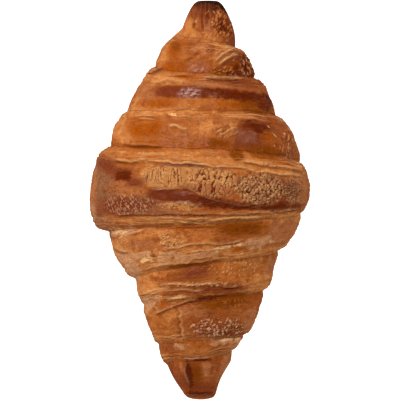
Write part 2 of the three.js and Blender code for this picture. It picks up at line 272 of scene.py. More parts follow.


# The patches of each tone, roughly from the far tip to the near one. Narrow grey, rose and pale ones along
# the outline are painted rim light, and thin dark ones under edges and in creases are partly painted shadow.
PATCHES = {
    "dull": (
        Patch((287, 148), (8, 12)), Patch((103, 186), (15, 30)), Patch((292, 191), (16, 15)),
        Patch((132, 205), (34, 10)), Patch((103, 219), (14, 9), -25),
    ),
    "brown": (
        Patch((208, 18), (22, 18)), Patch((222, 26), (11, 18), 14), Patch((200, 47), (17, 8)),
        Patch((236, 68), (20, 12), -20), Patch((199, 69), (13, 7)), Patch((223, 85), (36, 6), -2),
        Patch((262, 104), (20, 12), -15), Patch((166, 102.5), (16, 5)), Patch((214, 109), (40, 1.6), -2),
        Patch((270, 137), (26, 20), -25), Patch((218, 145), (20, 4)), Patch((133, 184), (14, 6)),
        Patch((204, 189), (18, 5), -12), Patch((225, 189), (16, 6), -8), Patch((210, 194), (27, 5), -12),
        Patch((262, 189), (22, 15)), Patch((128, 226), (20, 4)), Patch((156, 241), (6, 6), 4),
        Patch((187, 239), (7, 5)), Patch((230, 240), (13, 4), 8), Patch((174, 278), (28, 4), 4),
        Patch((180, 273), (22, 7), 6), Patch((182, 287), (24, 8), 6), Patch((213, 288), (32, 6), 3),
        Patch((238, 287.5), (28, 5), 3), Patch((163, 309.5), (16, 3), 28), Patch((206, 320), (24, 12)),
        Patch((222, 327), (34, 10)), Patch((214, 347), (8, 4)), Patch((170, 347), (9, 8), -30),
        Patch((200, 377), (30, 22)), Patch((200, 397), (15, 3)),
    ),
    "honey": (
        Patch((214, 40), (9, 3), -12), Patch((215, 17), (5, 5)), Patch((223, 54), (11, 7), 35),
        Patch((198, 103.5), (64, 5)), Patch((200, 112), (20, 2.4), -1), Patch((140, 122), (24, 12)),
        Patch((146, 153), (36, 6), -1), Patch((139, 167), (11, 4)), Patch((240, 219), (26, 2.4), 4),
        Patch((203, 234), (14, 6)), Patch((280, 236), (12, 8), 20), Patch((168, 269), (12, 3)),
        Patch((243, 269), (32, 11), 5), Patch((162, 320), (14, 11)), Patch((199, 349), (11, 5)),
    ),
    "rose": (
        Patch((208, 26), (5, 8)), Patch((200, 47), (7, 3.5)), Patch((193, 51), (4, 2.4)),
        Patch((212, 42), (6, 2), -8), Patch((206, 54), (5, 2.6)), Patch((224, 56), (7, 4), -20),
        Patch((214, 86), (20, 2.6), -2), Patch((147, 93), (9, 8)), Patch((93, 192), (5, 24)),
        Patch((302, 190), (5, 14)), Patch((128, 190), (18, 8), -20), Patch((111, 215), (7, 4)),
        Patch((140, 243), (20, 6), 4), Patch((284, 228), (16, 17)), Patch((271, 266), (6, 12)),
        Patch((249, 322), (7, 14)), Patch((194, 309), (14, 6)), Patch((228, 358), (5, 18), -24),
        Patch((207, 368), (6, 7)),
    ),
    "pale": (
        Patch((190, 25), (6, 10), -12), Patch((189.5, 13), (1.6, 4), -25), Patch((196, 36), (19, 3.6), -10),
        Patch((164, 55), (5, 10), -20), Patch((168, 78.5), (19, 6)), Patch((134, 104), (4, 6)),
        Patch((158, 111), (32, 5)), Patch((172, 113), (26, 2.6), -1), Patch((203, 127), (10, 6)),
        Patch((126, 137), (7, 5)), Patch((114, 145), (6, 4)), Patch((119, 126), (8, 14), -25),
        Patch((237, 171), (12, 2.6), -6), Patch((281, 177.5), (14, 2.2), -6),
        Patch((206, 161), (62, 4), -4), Patch((264, 167), (30, 7), -8), Patch((307, 190), (3, 15)),
        Patch((190, 220), (60, 3.4)), Patch((268, 215), (38, 6), 4), Patch((293, 214), (13, 6)),
        Patch((264, 213), (36, 2.6), 4), Patch((162, 231), (22, 2.4)), Patch((145, 235), (14, 2.4), 6),
        Patch((171, 240), (11, 7)), Patch((203, 247), (36, 3.4), 7), Patch((198, 255), (32, 5), 8),
        Patch((190, 249), (28, 3.4), 6), Patch((132, 264), (12, 24), 32), Patch((250, 253), (20, 5), 10),
        Patch((149, 269), (21, 5), 8), Patch((147, 267), (17, 6), 8), Patch((257, 282), (15, 8), 5),
        Patch((122, 256), (9, 22), 30), Patch((140, 296), (7, 16), 20), Patch((146, 290), (16, 9), 8),
        Patch((174, 298.5), (8, 2.2), 20), Patch((173, 312), (7, 4), 20), Patch((181.5, 370), (1.5, 11), 8),
    ),
    "tan": (
        Patch((168, 176), (27, 11)), Patch((211, 174.5), (25, 7.5), -12), Patch((182, 206), (17, 4.4)),
    ),
    "grey": (
        Patch((290, 132), (3.2, 10), 15), Patch((93, 211), (4, 7)), Patch((122, 231.5), (14, 4.6), 6),
        Patch((140, 254), (10, 4), 12), Patch((255, 242), (15, 4.5), 14), Patch((194, 256), (28, 3.4), 7),
        Patch((168, 253), (12, 2.6), 8), Patch((130, 264), (8, 16), 32), Patch((150, 301), (9, 7), 20),
        Patch((228, 339.5), (17, 3.6), 3), Patch((180, 345), (6, 3)), Patch((199, 356.6), (14, 1.0), 3),
        Patch((202.5, 390), (0.8, 3.5), -10),
    ),
    "amber": (
        Patch((178, 43), (7, 3), -20), Patch((174, 49), (6.5, 9), -15), Patch((173, 68), (11, 5)),
        Patch((184, 77.5), (9, 1.8)), Patch((255, 84), (8, 3.5), -14), Patch((161, 104), (14, 4)),
        Patch((238, 104.5), (20, 3.2), -2), Patch((146, 126), (17, 10)), Patch((148, 147.5), (16, 2.2)),
        Patch((203, 147.5), (14, 2.2)), Patch((152, 143), (12, 2.2)), Patch((265, 136), (8, 5), -15),
        Patch((150, 157), (13, 1.4)), Patch((282, 162), (9, 2.4), -8), Patch((261, 158.5), (9, 1.8), -8),
        Patch((226, 166.6), (15, 1.4), -3), Patch((238, 248), (8, 1.6), 10),
        Patch((196, 259.5), (12, 1.4), 7), Patch((233, 302), (18, 3.4), 5),
    ),
    "window": (
        Patch((193.5, 25), (1.8, 3.4), -20), Patch((176, 47), (4, 4)), Patch((190, 59.2), (4.5, 1), 20),
        Patch((234, 66), (6, 10), -20), Patch((221, 72), (11, 4), 8), Patch((181, 76.3), (9, 0.9), -2),
        Patch((256, 104), (19, 5), -6), Patch((254, 112), (12, 2.4), -8), Patch((218, 143), (12, 4)),
        Patch((266, 149), (8, 5), -10), Patch((262, 151), (18, 6), -10), Patch((236, 154), (6, 8), 35),
        Patch((124, 161.5), (14, 2), -5), Patch((200, 215), (40, 1.2)), Patch((192, 226.5), (20, 1.0)),
        Patch((241, 228.5), (23, 6.5)), Patch((190, 264), (22, 1.6), 8), Patch((222, 299.5), (24, 7), 5),
        Patch((195, 375), (6, 13), 4),
    ),
    "plum": (
        Patch((205, 6), (19, 13)), Patch((229, 26), (6, 18), 14), Patch((215, 23), (5, 6)),
        Patch((210.3, 51), (2.6, 1.2), 20), Patch((195.5, 54), (3, 1.1), 30),
        Patch((231, 46), (6, 2.4), -30), Patch((236, 56), (8, 6), -30), Patch((226, 62), (8, 2.4), 30),
        Patch((240, 83), (16, 4), -4), Patch((250, 132), (13, 10), -12), Patch((247, 138), (15, 9)),
        Patch((106, 165), (12, 6), -30), Patch((122, 174), (10, 6)), Patch((187, 189), (8, 2.6)),
        Patch((136, 182), (8, 4)), Patch((264, 190), (24, 14)), Patch((241, 184), (6, 7)),
        Patch((124, 206), (28, 9)), Patch((152, 199), (5, 4)), Patch((160, 212), (28, 1.6)),
        Patch((246, 213.5), (12, 1.4)), Patch((225, 242.5), (9, 1.8), 8), Patch((196, 271), (13, 4), 12),
        Patch((211, 287), (20, 4), 3), Patch((222, 331), (20, 5)), Patch((173, 376), (5, 14), 30),
        Patch((184, 378), (4, 9), 12), Patch((199, 388), (15, 4)),
    ),
    # Dark browning whose grey-purple cast is a painted reflection in the egg wash
    "bruise": (
        Patch((246, 138), (10, 6), -12),
    ),
    "glaze": (
        Patch((197, 8), (1.6, 7), -6), Patch((201.5, 9), (1.5, 9)), Patch((206.5, 7.5), (1.7, 7), 5),
        Patch((212, 7), (2.2, 5), 20), Patch((202, 23), (1.3, 9), 3), Patch((186, 92.3), (33, 6), -1),
        Patch((184, 165.5), (20, 1.4), -3), Patch((175, 196), (29, 6), -8),
    ),
    "dark": (
        Patch((221, 25), (5, 8), 10), Patch((235, 70), (3, 6), -25), Patch((236, 74), (14, 3), 4),
        Patch((247, 66), (7, 12), 14), Patch((155, 71), (8, 1.4), 22), Patch((238, 95.8), (37, 4.8), -5),
        Patch((265, 101), (8, 9), -30), Patch((257, 126.5), (14, 3.6), -10),
        Patch((258, 132), (6, 1.6), -25), Patch((123, 176), (8, 4.4)), Patch((216, 203), (20, 5), -8),
        Patch((252, 205.5), (50, 4.4), -2), Patch((230, 285.8), (10, 1.1), 3),
        Patch((218, 294.6), (9, 0.9), 4), Patch((202, 298.5), (13, 2.2), 8),
        Patch((205, 359.5), (15, 1.3), 3), Patch((189, 374), (3.6, 15), 5), Patch((199, 392.3), (16, 1.2)),
    ),
    "char": (
        Patch((204, 4), (17, 6), -8),
    ),
    # The marks at (274, 146.5) and (283, 133.5) are painted glints
    "cream": (
        Patch((206.5, 12.2), (2.2, 0.4), 45), Patch((213.4, 11.5), (1.8, 0.5), -50),
        Patch((217.5, 12.5), (2, 0.4), -40), Patch((195.3, 21.4), (1.3, 0.6), 20),
        Patch((212, 22), (1, 0.8)), Patch((171, 114.5), (6, 1.4)), Patch((267, 127.5), (2.4, 0.4), -45),
        Patch((273.5, 135.5), (2.6, 0.5), -50), Patch((283, 133.5), (2, 0.3), -35),
        Patch((274, 146.5), (1.2, 0.9)), Patch((119, 231), (7, 1.6), 4), Patch((147, 258), (8, 2), 14),
        Patch((224, 246.5), (16, 1.2), 10), Patch((231, 339), (11, 1.4), 3),
    ),
    "burnt": (
        Patch((205, 0.5), (15, 2.6), -5), Patch((222, 7), (8, 1.6), -48), Patch((201, 123), (1.3, 1.2)),
    ),
}
PATCH_SQUARENESS = 3.4
BOLD = 1.8  # least depth, in millimetres, that the middle of a narrow patch counts as
SPOT_SLOPE = 0.3  # share of a height difference that counts as distance from a spot's middle
SEEN = -0.3  # upward part of a normal, from which a spot can reach a point
TURNED_UNDER = -0.05  # upward part of a normal, from which a patch shows in full
FAR_OFF = 4.0  # millimetres that count as far inside or outside a tone


class Field(NamedTuple):
    """Part of the crust with cracks, blisters or streaks: its middle and half-sizes, in photo pixels."""

    kind: str
    at: tuple
    reach: tuple
    tilt: float  # degrees anticlockwise that its cells are turned, but not its border
    cell: tuple  # millimetres from one crack, blister or streak to the next, along and across the tilt
    depth: float  # millimetres
    tone: str
    light: float  # how strongly that tone shows on top
    gap: float  # how strongly the dark shows in between: in cracks, and as painted shade round blisters
    share: float  # how much of the field has any


FIELDS = (
    Field("cracks", (168, 178), (27, 12), 4, (1.3, 4.0), 0.3, "cream", 0.3, 0.9, 0.65),
    Field("cracks", (213, 182), (26, 16), -8, (2.3, 4.6), 0.55, "cream", 0.4, 1.0, 1.0),
    Field("cracks", (258, 188), (27, 17), -5, (1.9, 2.3), 0.5, "cream", 0.5, 1.0, 1.0),
    Field("blisters", (260, 189), (26, 16), 30, (1.4, 0.9), 0.3, "cream", 0.8, 0.5, 0.4),
    Field("streaks", (227, 130), (17, 10), 32, (4.0, 0.9), 0.4, "cream", 0.6, 0.9, 0.65),
    Field("blisters", (170, 240), (13, 8), 40, (1.3, 0.6), 0.3, "cream", 0.8, 0.7, 0.6),
    Field("cracks", (178, 206), (20, 5), 0, (2.2, 1.6), 0.25, "cream", 0.2, 0.6, 0.6),
    Field("streaks", (203, 14), (19, 17), 90, (7.0, 1.1), 0.15, "rose", 0.4, 0.8, 0.8),
    Field("blisters", (221, 27), (12, 19), 60, (1.9, 0.9), 0.4, "pale", 0.8, 0.6, 0.65),
    Field("streaks", (207, 55), (22, 11), 25, (4.5, 1.5), 0.3, "pale", 0.35, 0.35, 0.6),
    # Painted glints on the second turn's crown
    Field("streaks", (197, 68), (14, 7), 35, (2.2, 0.8), 0.12, "sheen", 0.3, 0.3, 0.7),
    Field("blisters", (246, 65), (8, 13), 105, (2.2, 0.9), 0.4, "grey", 0.9, 0.5, 0.8),
    Field("blisters", (233, 75.5), (5, 1.8), 0, (1.2, 1.0), 0.4, "cream", 0.4, 0.4, 0.7),
    Field("blisters", (222, 71), (13, 5), 20, (1.4, 0.8), 0.35, "pale", 0.8, 0.3, 0.6),
    Field("blisters", (226, 55), (11, 8), 35, (3.0, 0.9), 0.3, "cream", 0.5, 0.5, 0.6),
    # Painted highlight on the third turn's glossy band
    Field("streaks", (189, 93.5), (14, 7), 20, (1.3, 0.6), 0.08, "sheen", 0.75, 0.0, 1.0),
    Field("blisters", (286, 146), (9, 13), 70, (2.4, 1.0), 0.4, "grey", 0.8, 0.6, 0.7),
    Field("blisters", (291, 190), (13, 13), 45, (1.0, 0.8), 0.35, "grey", 0.9, 0.6, 0.6),
    Field("blisters", (129, 203), (28, 11), -55, (1.4, 0.55), 0.35, "blush", 0.5, 0.3, 0.6),
    Field("blisters", (112, 189), (12, 8), -40, (1.2, 0.8), 0.25, "rose", 0.7, 0.4, 0.6),
    Field("blisters", (232, 267), (28, 10), 60, (1.4, 0.6), 0.25, "cream", 0.6, 0.3, 0.25),
    Field("blisters", (200, 283), (44, 3.4), 15, (1.5, 0.6), 0.3, "cream", 0.6, 0.3, 0.35),
    Field("blisters", (236, 302), (17, 5), 90, (1.8, 0.7), 0.15, "honey", 0.8, 0.2, 0.5),
    # Pale specks, partly painted glints
    Field("blisters", (218, 326), (33, 11), 35, (1.2, 0.6), 0.35, "blush", 0.75, 0.4, 0.5),
)
FIELD_SEED = 200
SEEDS_PER_FIELD = 10
AREA_SEED = 5  # these are added to a field's seed
WIDTH_SEED = 6
STREAK_SEED = 7
FIELD_FADE = {"cracks": (0.75, 1.1), "blisters": (0.75, 1.1), "streaks": (0.3, 1.1)}  # shares of its reach
FIELD_BORDER = ((3.0, 3.0, 1.0), (1.0, 1.0, 0.5))  # lumps of its ragged border, and their shares
FIELD_RAGGED = 0.15
FIELD_SQUARENESS = 2
FIELD_MARGIN = 2.0
BORDER_SEED = 71

# The spindle that a field is unrolled from: how much its tips taper, and the room it has beside the crust
SPINDLE_TAPER = 0.7
SPINDLE_ROOM = 1.05

# How cells are pushed out of shape: by how much of a cell, and the fineness and share of two noises
WARP = 0.35
WARP_NOISES = ((1.4, 1.0), (3.0, 0.5))

# Cracks, with plates of glaze between them that have a light rim, partly a painted highlight, and a low dome
CRACK_WIDTH = 0.36
CRACK_WIDTHS = Swing(0.9, 0.7, 0.3, 1.4)  # shares of that width
CRACK_WIDTH_FINENESS = 0.8  # lumps to a cell
CRACK_AREA = 2.1  # cells across a part with or without cracks
CRACK_ONSET = (0.3, 0.7)
CRACK_WALL = (0.1, 1.0)
PLATE_RIM = 0.4
PLATE_DOME = (0.1, 0.8)
PLATE_RISE = 0.4
PLATE_LIGHT = (0.2, 0.4, 0.4)  # of every plate, by its own draw, and on its rim, where it is partly a painted highlight

# Streaks, twice as bent as the cells
STREAK_BEND = 2
STREAK_FINENESS = 2.3
STREAK_SHARE = 0.5
STREAK_ONSET = (0.5, 0.8)

# Blisters: least and greatest radius in cells, and where the shade round one starts and ends, in radii
BLISTER_RADIUS = (0.3, 0.75)
BLISTER_SHADE_START = (0.8, 1.05)
BLISTER_SHADE_END = (1.15, 1.7)


class Ledge(NamedTuple):
    """A line where a sheet of dough ends, in photo pixels: the sheet is on the left as the line runs."""

    course: tuple
    step: float  # millimetres
    light: float = 0.4  # how brightly the sheet's edge shows: partly the cream of its torn edge, partly a painted highlight
    shade: float = 0.8  # how dark the painted shadow in the line below it is


LEDGES = (
    Ledge(((112, 158), (121, 161), (131, 163), (142, 161), (153, 161), (172, 164.5), (187, 163.5),
           (212, 167.5), (233, 167.5), (256, 172), (282, 175), (304, 177)), 0.8, 0.6, 0.25),
    Ledge(((119, 141), (130, 144.5), (144, 145), (166, 147)), 0.3, 0.2, 0.9),
    Ledge(((238, 161), (262, 165), (285, 168), (304, 171)), 0.5),
    Ledge(((147, 190), (163, 190), (188, 189), (197, 194), (208, 199), (225, 203), (243, 206),
           (262, 203)), 0.5, 0.1, 0.3),
    Ledge(((198, 206), (190, 201.5), (168, 201.5), (156, 205)), 0.35, 0.3, 0.3),
    Ledge(((112, 214), (150, 213.5), (188, 213), (215, 214)), 0.5, 0.15, 0.7),
    Ledge(((212, 214), (240, 213.5), (262, 212), (300, 209)), 0.5, 0.3, 0.2),
    Ledge(((130, 220), (160, 218), (196, 218.5), (216, 216)), 0.4, 0.25, 0.4),
    Ledge(((176, 221), (202, 223.5), (216, 219), (240, 217.5), (264, 215.5)), 0.5, 0.7, 0.25),
    Ledge(((160, 250), (184, 245), (207, 242), (222, 244), (246, 239)), 0.5, 0.6, 0.3),
    Ledge(((140, 264), (147, 260), (158, 256), (167, 255)), 0.4, 0.5, 0.1),
    Ledge(((148, 267), (170, 263), (186, 262.5), (196, 258)), 0.5, 0.6, 0.2),
    Ledge(((186, 252), (205, 250), (232, 247)), 0.4, 0.6, 0.2),
    Ledge(((116, 241), (124, 236), (134, 233), (146, 230), (158, 229)), 0.4, 0.6, 0.2),
    Ledge(((114, 246), (120, 250), (130, 252)), 0.4, 0.5, 0.8),
    Ledge(((158, 284), (180, 283.5), (196, 284), (206, 283), (220, 283.5)), 0.3, 0.8, 0.2),
    Ledge(((142, 293), (154, 289.5), (172, 287)), 0.3, 0.7, 0.3),
    Ledge(((166, 301), (172, 298), (180, 296), (188, 296)), 0.5, 0.7, 0.5),
    Ledge(((142, 270), (152, 266), (170, 267)), 0.3, 0.2, 0.2),
    Ledge(((221, 286), (239, 285)), 0.5, 0.3, 1.0),
    Ledge(((143, 296), (160, 291), (180, 289), (206, 290)), 0.3, 0.4, 0.3),
    Ledge(((152, 315), (159, 311), (171, 307), (178, 303), (187, 300), (200, 299)), 0.9, 0.4, 0.55),
    Ledge(((178, 305), (177, 308), (180.5, 312), (178, 316), (180.5, 320), (178.7, 324.3), (181.4, 328),
           (180.5, 332.3), (182.3, 336.3), (177, 337)), 0.35, 0.4, 0.5),
    Ledge(((190, 386), (187.7, 378), (186, 371), (186.3, 365), (187, 360)), 0.7, 0.2, 0.9),
    Ledge(((202, 78.8), (224, 79), (244, 79.5)), 0.6, 0.4, 1.0),
    Ledge(((149, 74), (157, 70.5), (163, 68)), 0.5, 0.4),
    Ledge(((150, 84), (166, 81), (187, 83)), 0.3, 0.4, 0.5),
    Ledge(((167, 128), (174, 126), (182, 130), (189, 130)), 0.3, 0.7, 0.2),
    Ledge(((213, 63), (224, 55), (236, 48)), 0.4, 0.6, 0.4),
    Ledge(((217, 67), (229, 58), (240, 53)), 0.4, 0.6, 0.5),
    Ledge(((185, 392), (198, 392.8), (214, 392)), 0.4, 0.0, 0.6),
)
LEDGE_FALL = 2.5  # millimetres over which the sheet sinks back into the crust
LEDGE_WALL = 0.15  # half the width of its steep edge
LEDGE_LIGHT = 0.4  # distance of the bright rim, partly a painted highlight, from the line
LEDGE_SHADE = 0.55  # distance of the groove, with its painted shadow, on its other side
LEDGE_GROOVE = 0.2  # depth of that groove, as a share of the step
# darkness of the painted shadow in that groove
LEDGE_DARKEST = 0.85
LEDGE_FLANK = (0.05, 0.25)  # upward part of a normal between which a ledge comes up
LEDGE_FADE = 4.0  # millimetres over which its ends fade, but at most this share of its length
LEDGE_FADE_SHARE = 0.2
LEDGE_WANDER = ((5.0, 0.4), (1.5, 0.12))  # length of its waves, and how far they reach
LEDGE_SHOWS = Swing(0.85, 0.4, 0.4, 1.0)  # how strong it is along its line
LEDGE_SHOWS_WAVE = 7.0
LEDGE_SEED = 73
LEDGE_MARGIN = 9.0

# The mesh is made finer this often, where a side in a field or beside a ledge is longer than this
REFINEMENTS = 3
LONG_SIDE = 0.32
FIELD_REFINED = 0.1  # least weight of a field
LEDGE_REFINED = 1.1  # greatest distance from a ledge


class Lumps(NamedTuple):
    """Noise on the unrolled dough: its lumps' length and width, its shift from turn to turn, and its seed."""

    length: float
    width: float
    shift: float
    seed: int


# Browning by rule, which shows where the photo gives no patch
SLOW = Lumps(15.0, 7.0, 3.7, 61)
QUICK = Lumps(4.0, 2.0, 5.3, 62)
BARE = Lumps(11.0, math.inf, 2.9, 63)
SPREAD = Lumps(13.0, 6.0, 7.1, 80)
SPREAD_ROWS = 3  # lumps of noise from one tone to the next
BAKE = (0.35, 0.5, 0.3)  # mean, and the swing by slow and by quick noise
EDGE_SWING = 1.5
EDGE_BAND = (1.5, 5.5)  # millimetres behind a free edge
EDGE_RIM = (0.1, 0.6)
EDGE_BARE = (-0.35, 0.25)
EDGE_LEAST = 0.25
VALLEY_BAND = (1.0, 5.0)  # millimetres before the next edge
FLANK = (-0.45, 0.5)  # downward part of a normal
BASE_BAND = (0.2, 1.2)  # millimetres above the tray
PALE_EDGE = 0.6
# Amber before the next edge: thin skin over butter, deepened by painted shade under the overlapping turn
VALLEY_AMBER_AND_SHADE = 0.7
DULL_FLANK = 0.4
# Darkening of the creases: partly deeper browning, partly painted shade
CREASE_BROWN_AND_SHADE = 0.55
LAYERS = (0.8, 0.6)  # mean, and the swing by slow noise
TURNS_APART = 9.0  # lumps of noise from one turn to the next
TONE_SPREAD = {"brown": -0.2, "pale": -1.2, "amber": -1.6, "window": -2.2, "dark": -3.4}  # millimetres
TONE_SWING = 5.0
FROM_ABOVE = (-0.1, 0.35)  # upward part of a normal between which the photo's patches take over
GLOSS_BORDER = (-0.5, 0.5)

# Noise of the material by its lumps to the millimetre and its detail
BLOTCHES = (0.35, 3.0)
FINE_GRAIN = (1.3, 2.0)
FLOOR_CLOUDS = (0.02, 2.0)

# Noise drawn out along the dough's thread, by its lumps' length and width in millimetres and its detail
LONG_STREAKS = (7.0, 1.0, 3.0)
SHORT_STREAKS = (1.6, 0.6, 3.0)
LAYER_LINES = (22.0, 0.65, 2.0)
LAYER_BANDS = (13.0, 5.0, 2.0)
TERRACE_SWAY = (17.0, 6.0, 1.0)
WRINKLE_LINES = (5.0, 1.7, 2.0)

# Terraces of the layers: their width in millimetres, how many of them they sway over, and their bands
TERRACE_WIDTH = 1.9
TERRACE_SWING = 2.5
BAND_ONSET = (0.5, 0.6)
BAND_SHARE = 0.25

# Fine wrinkles and grain, which fade on glossy skin
DRY = (0.3, 0.8, 1.0, 0.3)  # from this gloss to that, and the share there
WRINKLE_WIDTH = 0.09
WRINKLE_AREAS = (0.4, 0.6)
WRINKLE_SHARE = 0.5
WRINKLE_LIGHT = (1.4, 1.45, 1.5, 1)
BORDER_SWING = (0.9, 1.2, 3.4)  # millimetres, by long streaks, fine grain and blotches
TEXTURE_SWING = (0.45, 0.42, 0.9)  # by short streaks, fine grain and blotches
TEXTURE_RANGE = 0.5
DARKENED = ((0.6, 0.42, 0.22, 1), 0.7)  # what the tone is multiplied by, and how strongly
LIGHTENED = ((1.35, 1.48, 1.75, 1), 0.8)


class Mark(NamedTuple):
    """Lines on the layers, which come up between two values of the noise that they follow."""

    follows: str
    onset: tuple
    strength: float
    tone: str


MARKS = (
    # The terraces' cream rim and dark foot are partly the layers' own colour, partly painted light and shade
    # on each step
    Mark("terrace", (0.6, 0.95), 0.3, "cream"),
    Mark("terrace", (0.16, 0.0), 0.4, "dark"),
    Mark("lines", (0.52, 0.66), 0.7, "cream"),
    Mark("lines", (0.46, 0.34), 0.6, "dark"),
)

# Surface of the crust
ROUGHNESS = (0.38, 0.2)  # dry, and glossy
ROUGHNESS_SWING = 0.12
COAT_FROM = 0.5  # gloss
COAT_WEIGHT = 0.65
BUMP_DISTANCE = 0.7 * MM
BUMP_GRAIN = (0.5, 0.3)  # short streaks and fine grain in the rough grain
BUMP_SHARES = (0.6, 0.4, 1.0, 0.5)  # rough grain, wrinkles, blotches and terraces
CRUST_SOCKETS = {
    "Coat Roughness": 0.28,
    "Specular IOR Level": 0.1,
    "Sheen Weight": 0.05,
    "Sheen Roughness": 0.25,
    "Sheen Tint": (1.0, 0.85, 0.75, 1),
    "Subsurface Weight": 0.3,
    "Subsurface Scale": 2 * MM,
    "Subsurface Radius": (1.0, 0.4, 0.2),
}
FLOOR_GREYS = ((0.3, 0.3, 0.3, 1), (0.32, 0.32, 0.32, 1))
FLOOR_CLOUD_RANGE = (0.3, 0.7)
FLOOR_SOCKETS = {
    "Emission Color": (1, 1, 1, 1),
    "Emission Strength": 1.4,
    "Roughness": 0.9,
    "Specular IOR Level": 0.0,
}


def smoothstep(x, low, high):
    """A smooth rise from 0 at low to 1 at high."""
    t = np.clip((x - low) / (high - low), 0.0, 1.0)
    return t * t * (3 - 2 * t)


def mix(a, b, share):
    """The value that share of the way from a to b."""
    return a + (b - a) * share


def grain(x, y, seed):
    """Smooth seeded noise over a plane, from about -1 to 1, with lumps one unit across."""
    leanings = np.random.default_rng(seed).uniform(0, FULL_TURN, (GRAIN_CELLS, GRAIN_CELLS))
    column = np.floor(x).astype(int)
    row = np.floor(y).astype(int)
    across = x - column
    up = y - row

    def corner(i, j):
        lean = leanings[(column + i) % GRAIN_CELLS, (row + j) % GRAIN_CELLS]
        return np.cos(lean) * (across - i) + np.sin(lean) * (up - j)

    ease = smoothstep(across, 0, 1)
    low = mix(corner(0, 0), corner(1, 0), ease)
    high = mix(corner(0, 1), corner(1, 1), ease)
    return GRAIN_GAIN * mix(low, high, smoothstep(up, 0, 1))


def ripples(x, waves, seed):
    """Noise along a line: waves of several lengths, each with its share, added up."""
    return sum(share * grain(x / length, x * 0, seed + k) for k, (length, share) in enumerate(waves))


def added_lumps(x, y, sizes, seed):
    """Noise over a plane: lumps of several lengths and widths, each with its share, added up."""
    return sum(share * grain(x / long, y / wide, seed + k) for k, (long, wide, share) in enumerate(sizes))


def curve_through(values):
    """A smooth curve, by turns from the tip, through evenly spaced values that it never overshoots."""
    values = np.asarray(values, float)
    steps = np.diff(values)
    before = np.concatenate((steps[:1], steps))
    after = np.concatenate((steps, steps[-1:]))
    level = before * after <= 0
    slopes = np.where(level, 0, 2 * before * after / np.where(level, 1, before + after))

    def at(turns):
        x = KEYS_PER_TURN * turns
        i = np.clip(np.floor(x).astype(int), 0, len(steps) - 1)
        t = np.clip(x - i, 0, 1)
        leave = t * (1 - t) ** 2 * slopes[i]
        arrive = t * t * (t - 1) * slopes[i + 1]
        return values[i] + smoothstep(t, 0, 1) * steps[i] + leave + arrive

    return at


def tip_end(arm):
    """Where a tip's rounded end starts, as a distance from mid-length."""
    return LENGTH / 2 - arm.nub.dome


def edge_curve(arm):
    """The free edge's distance from mid-length."""
    keys = [tip_end(arm)] * (KEYS_PER_TURN + 1)
    for turn, following in zip(arm.turns, arm.turns[1:] + (None,)):
        end = (turn.edge[2] + following.edge[0]) / 2 if following else arm.direction * TAIL_POINT
        keys += [*turn.edge, end]
    return curve_through(keys)


def sides_curve(arm, name, start):
    """A value that every turn has at its left and its right side."""
    keys = [start] * (KEYS_PER_TURN + 1)
    sides = [getattr(turn, name) for turn in arm.turns]
    for (left, right), following in zip(sides, sides[1:] + [None]):
        end = (right + following[0]) / 2 if following else right
        keys += [left, (left + right) / 2, right, end]
    return curve_through(keys)


def swelling(share, fullness):
    """A rise from 0 to 1 that is straight at fullness 1 and a quarter of a circle at fullness 2."""
    return (1 - (1 - np.clip(share, 0, 1)) ** fullness) ** (1 / fullness)


def nub_half(arm, along):
    """The half-width of the bare tip at a distance from mid-length."""
    nub = arm.nub
    share = (tip_end(arm) - along) / nub.length
    return mix(nub.end_half, nub.half, swelling(share, nub.fullness))


def uneven(angle, y):
    """Slow lumps that no two turns share."""
    twist, more = UNEVEN_TWIST
    waves = range(1, UNEVEN_WAVES + 1)
    return UNEVEN * sum(np.sin(n * (angle + UNEVEN_START * n) + (twist + more * n) * y) / n for n in waves)


def skin_points(arm, angle, along, half):
    """Points of the skin, from the floor round by the left side, the crown and the right side."""
    out = (np.abs(along) / (LENGTH / 2)) ** 2
    hooked = arm.hook * smoothstep(along, BEND_END, LENGTH / 2)
    axis_x = arm.bend * smoothstep(along, BEND_START, BEND_END) + hooked
    axis_z = mix(AXIS_MIDDLE, AXIS_TIP, out)
    sine = np.sin(angle)
    cosine = np.cos(angle)
    reach = mix(np.where(cosine < 0, CROWN_SHARE, BELLY_SHARE), TIP_SHARE, out)
    square = (np.abs(sine) ** SQUARENESS + np.abs(cosine) ** SQUARENESS) ** (-1 / SQUARENESS)
    y = arm.direction * along
    size = half * square + uneven(angle, y) * np.clip(half / NARROW_TURN - UNEVEN_LEAST, 0, 1)
    return np.stack((axis_x - size * sine, y, axis_z - size * reach * cosine), axis=-1)


def turns_at(column, columns):
    """How many turns the thread has made at each column."""
    return column // columns + np.interp(column % columns / columns, COLUMN_SHARES, TURN_SHARES)


def row_shares(turns, thread, seed):
    """Each row's share of the way from one free edge to the next, and how far the thin sheets reach."""
    sway = SHEETS_SWAY * np.sin(FULL_TURN * SHEETS_SWAY_WAVES * turns)
    reach = SHEETS_REACH + sway + ripples(thread, SHEETS_RIPPLES, seed)
    fractions = []
    last = SHEET_FIRST_ROW
    for end, _ in SHEET_ENDS:
        fractions += [mix(last, end, 0.5), end, end + SHEET_SLOPE]
        last = end + SHEET_SLOPE
    swell = np.linspace(0, 1, SWELL_ROWS + 1)[1:]
    return np.concatenate((reach * np.array(fractions), mix(reach * last, 1.0, swell)), axis=1), reach


def sheet_drop(thread, shares, reach, seed):
    """How far each thin sheet has thinned out towards its end."""
    drop = 0
    begin = 0.0
    for number, (end, thickness) in enumerate(SHEET_ENDS):
        here = np.clip((shares / reach - begin) / (end - begin), 0, 1)
        wave = grain(thread / SHEET_WAVE, thread * 0 + SHEETS_APART * number, seed)
        thinned = thickness * (SHEET_SHOWS + SHEET_SWING * wave) * here ** 2
        drop = drop + np.where(shares <= reach * end * JUST_PAST, thinned, 0)
        begin = end
    return drop


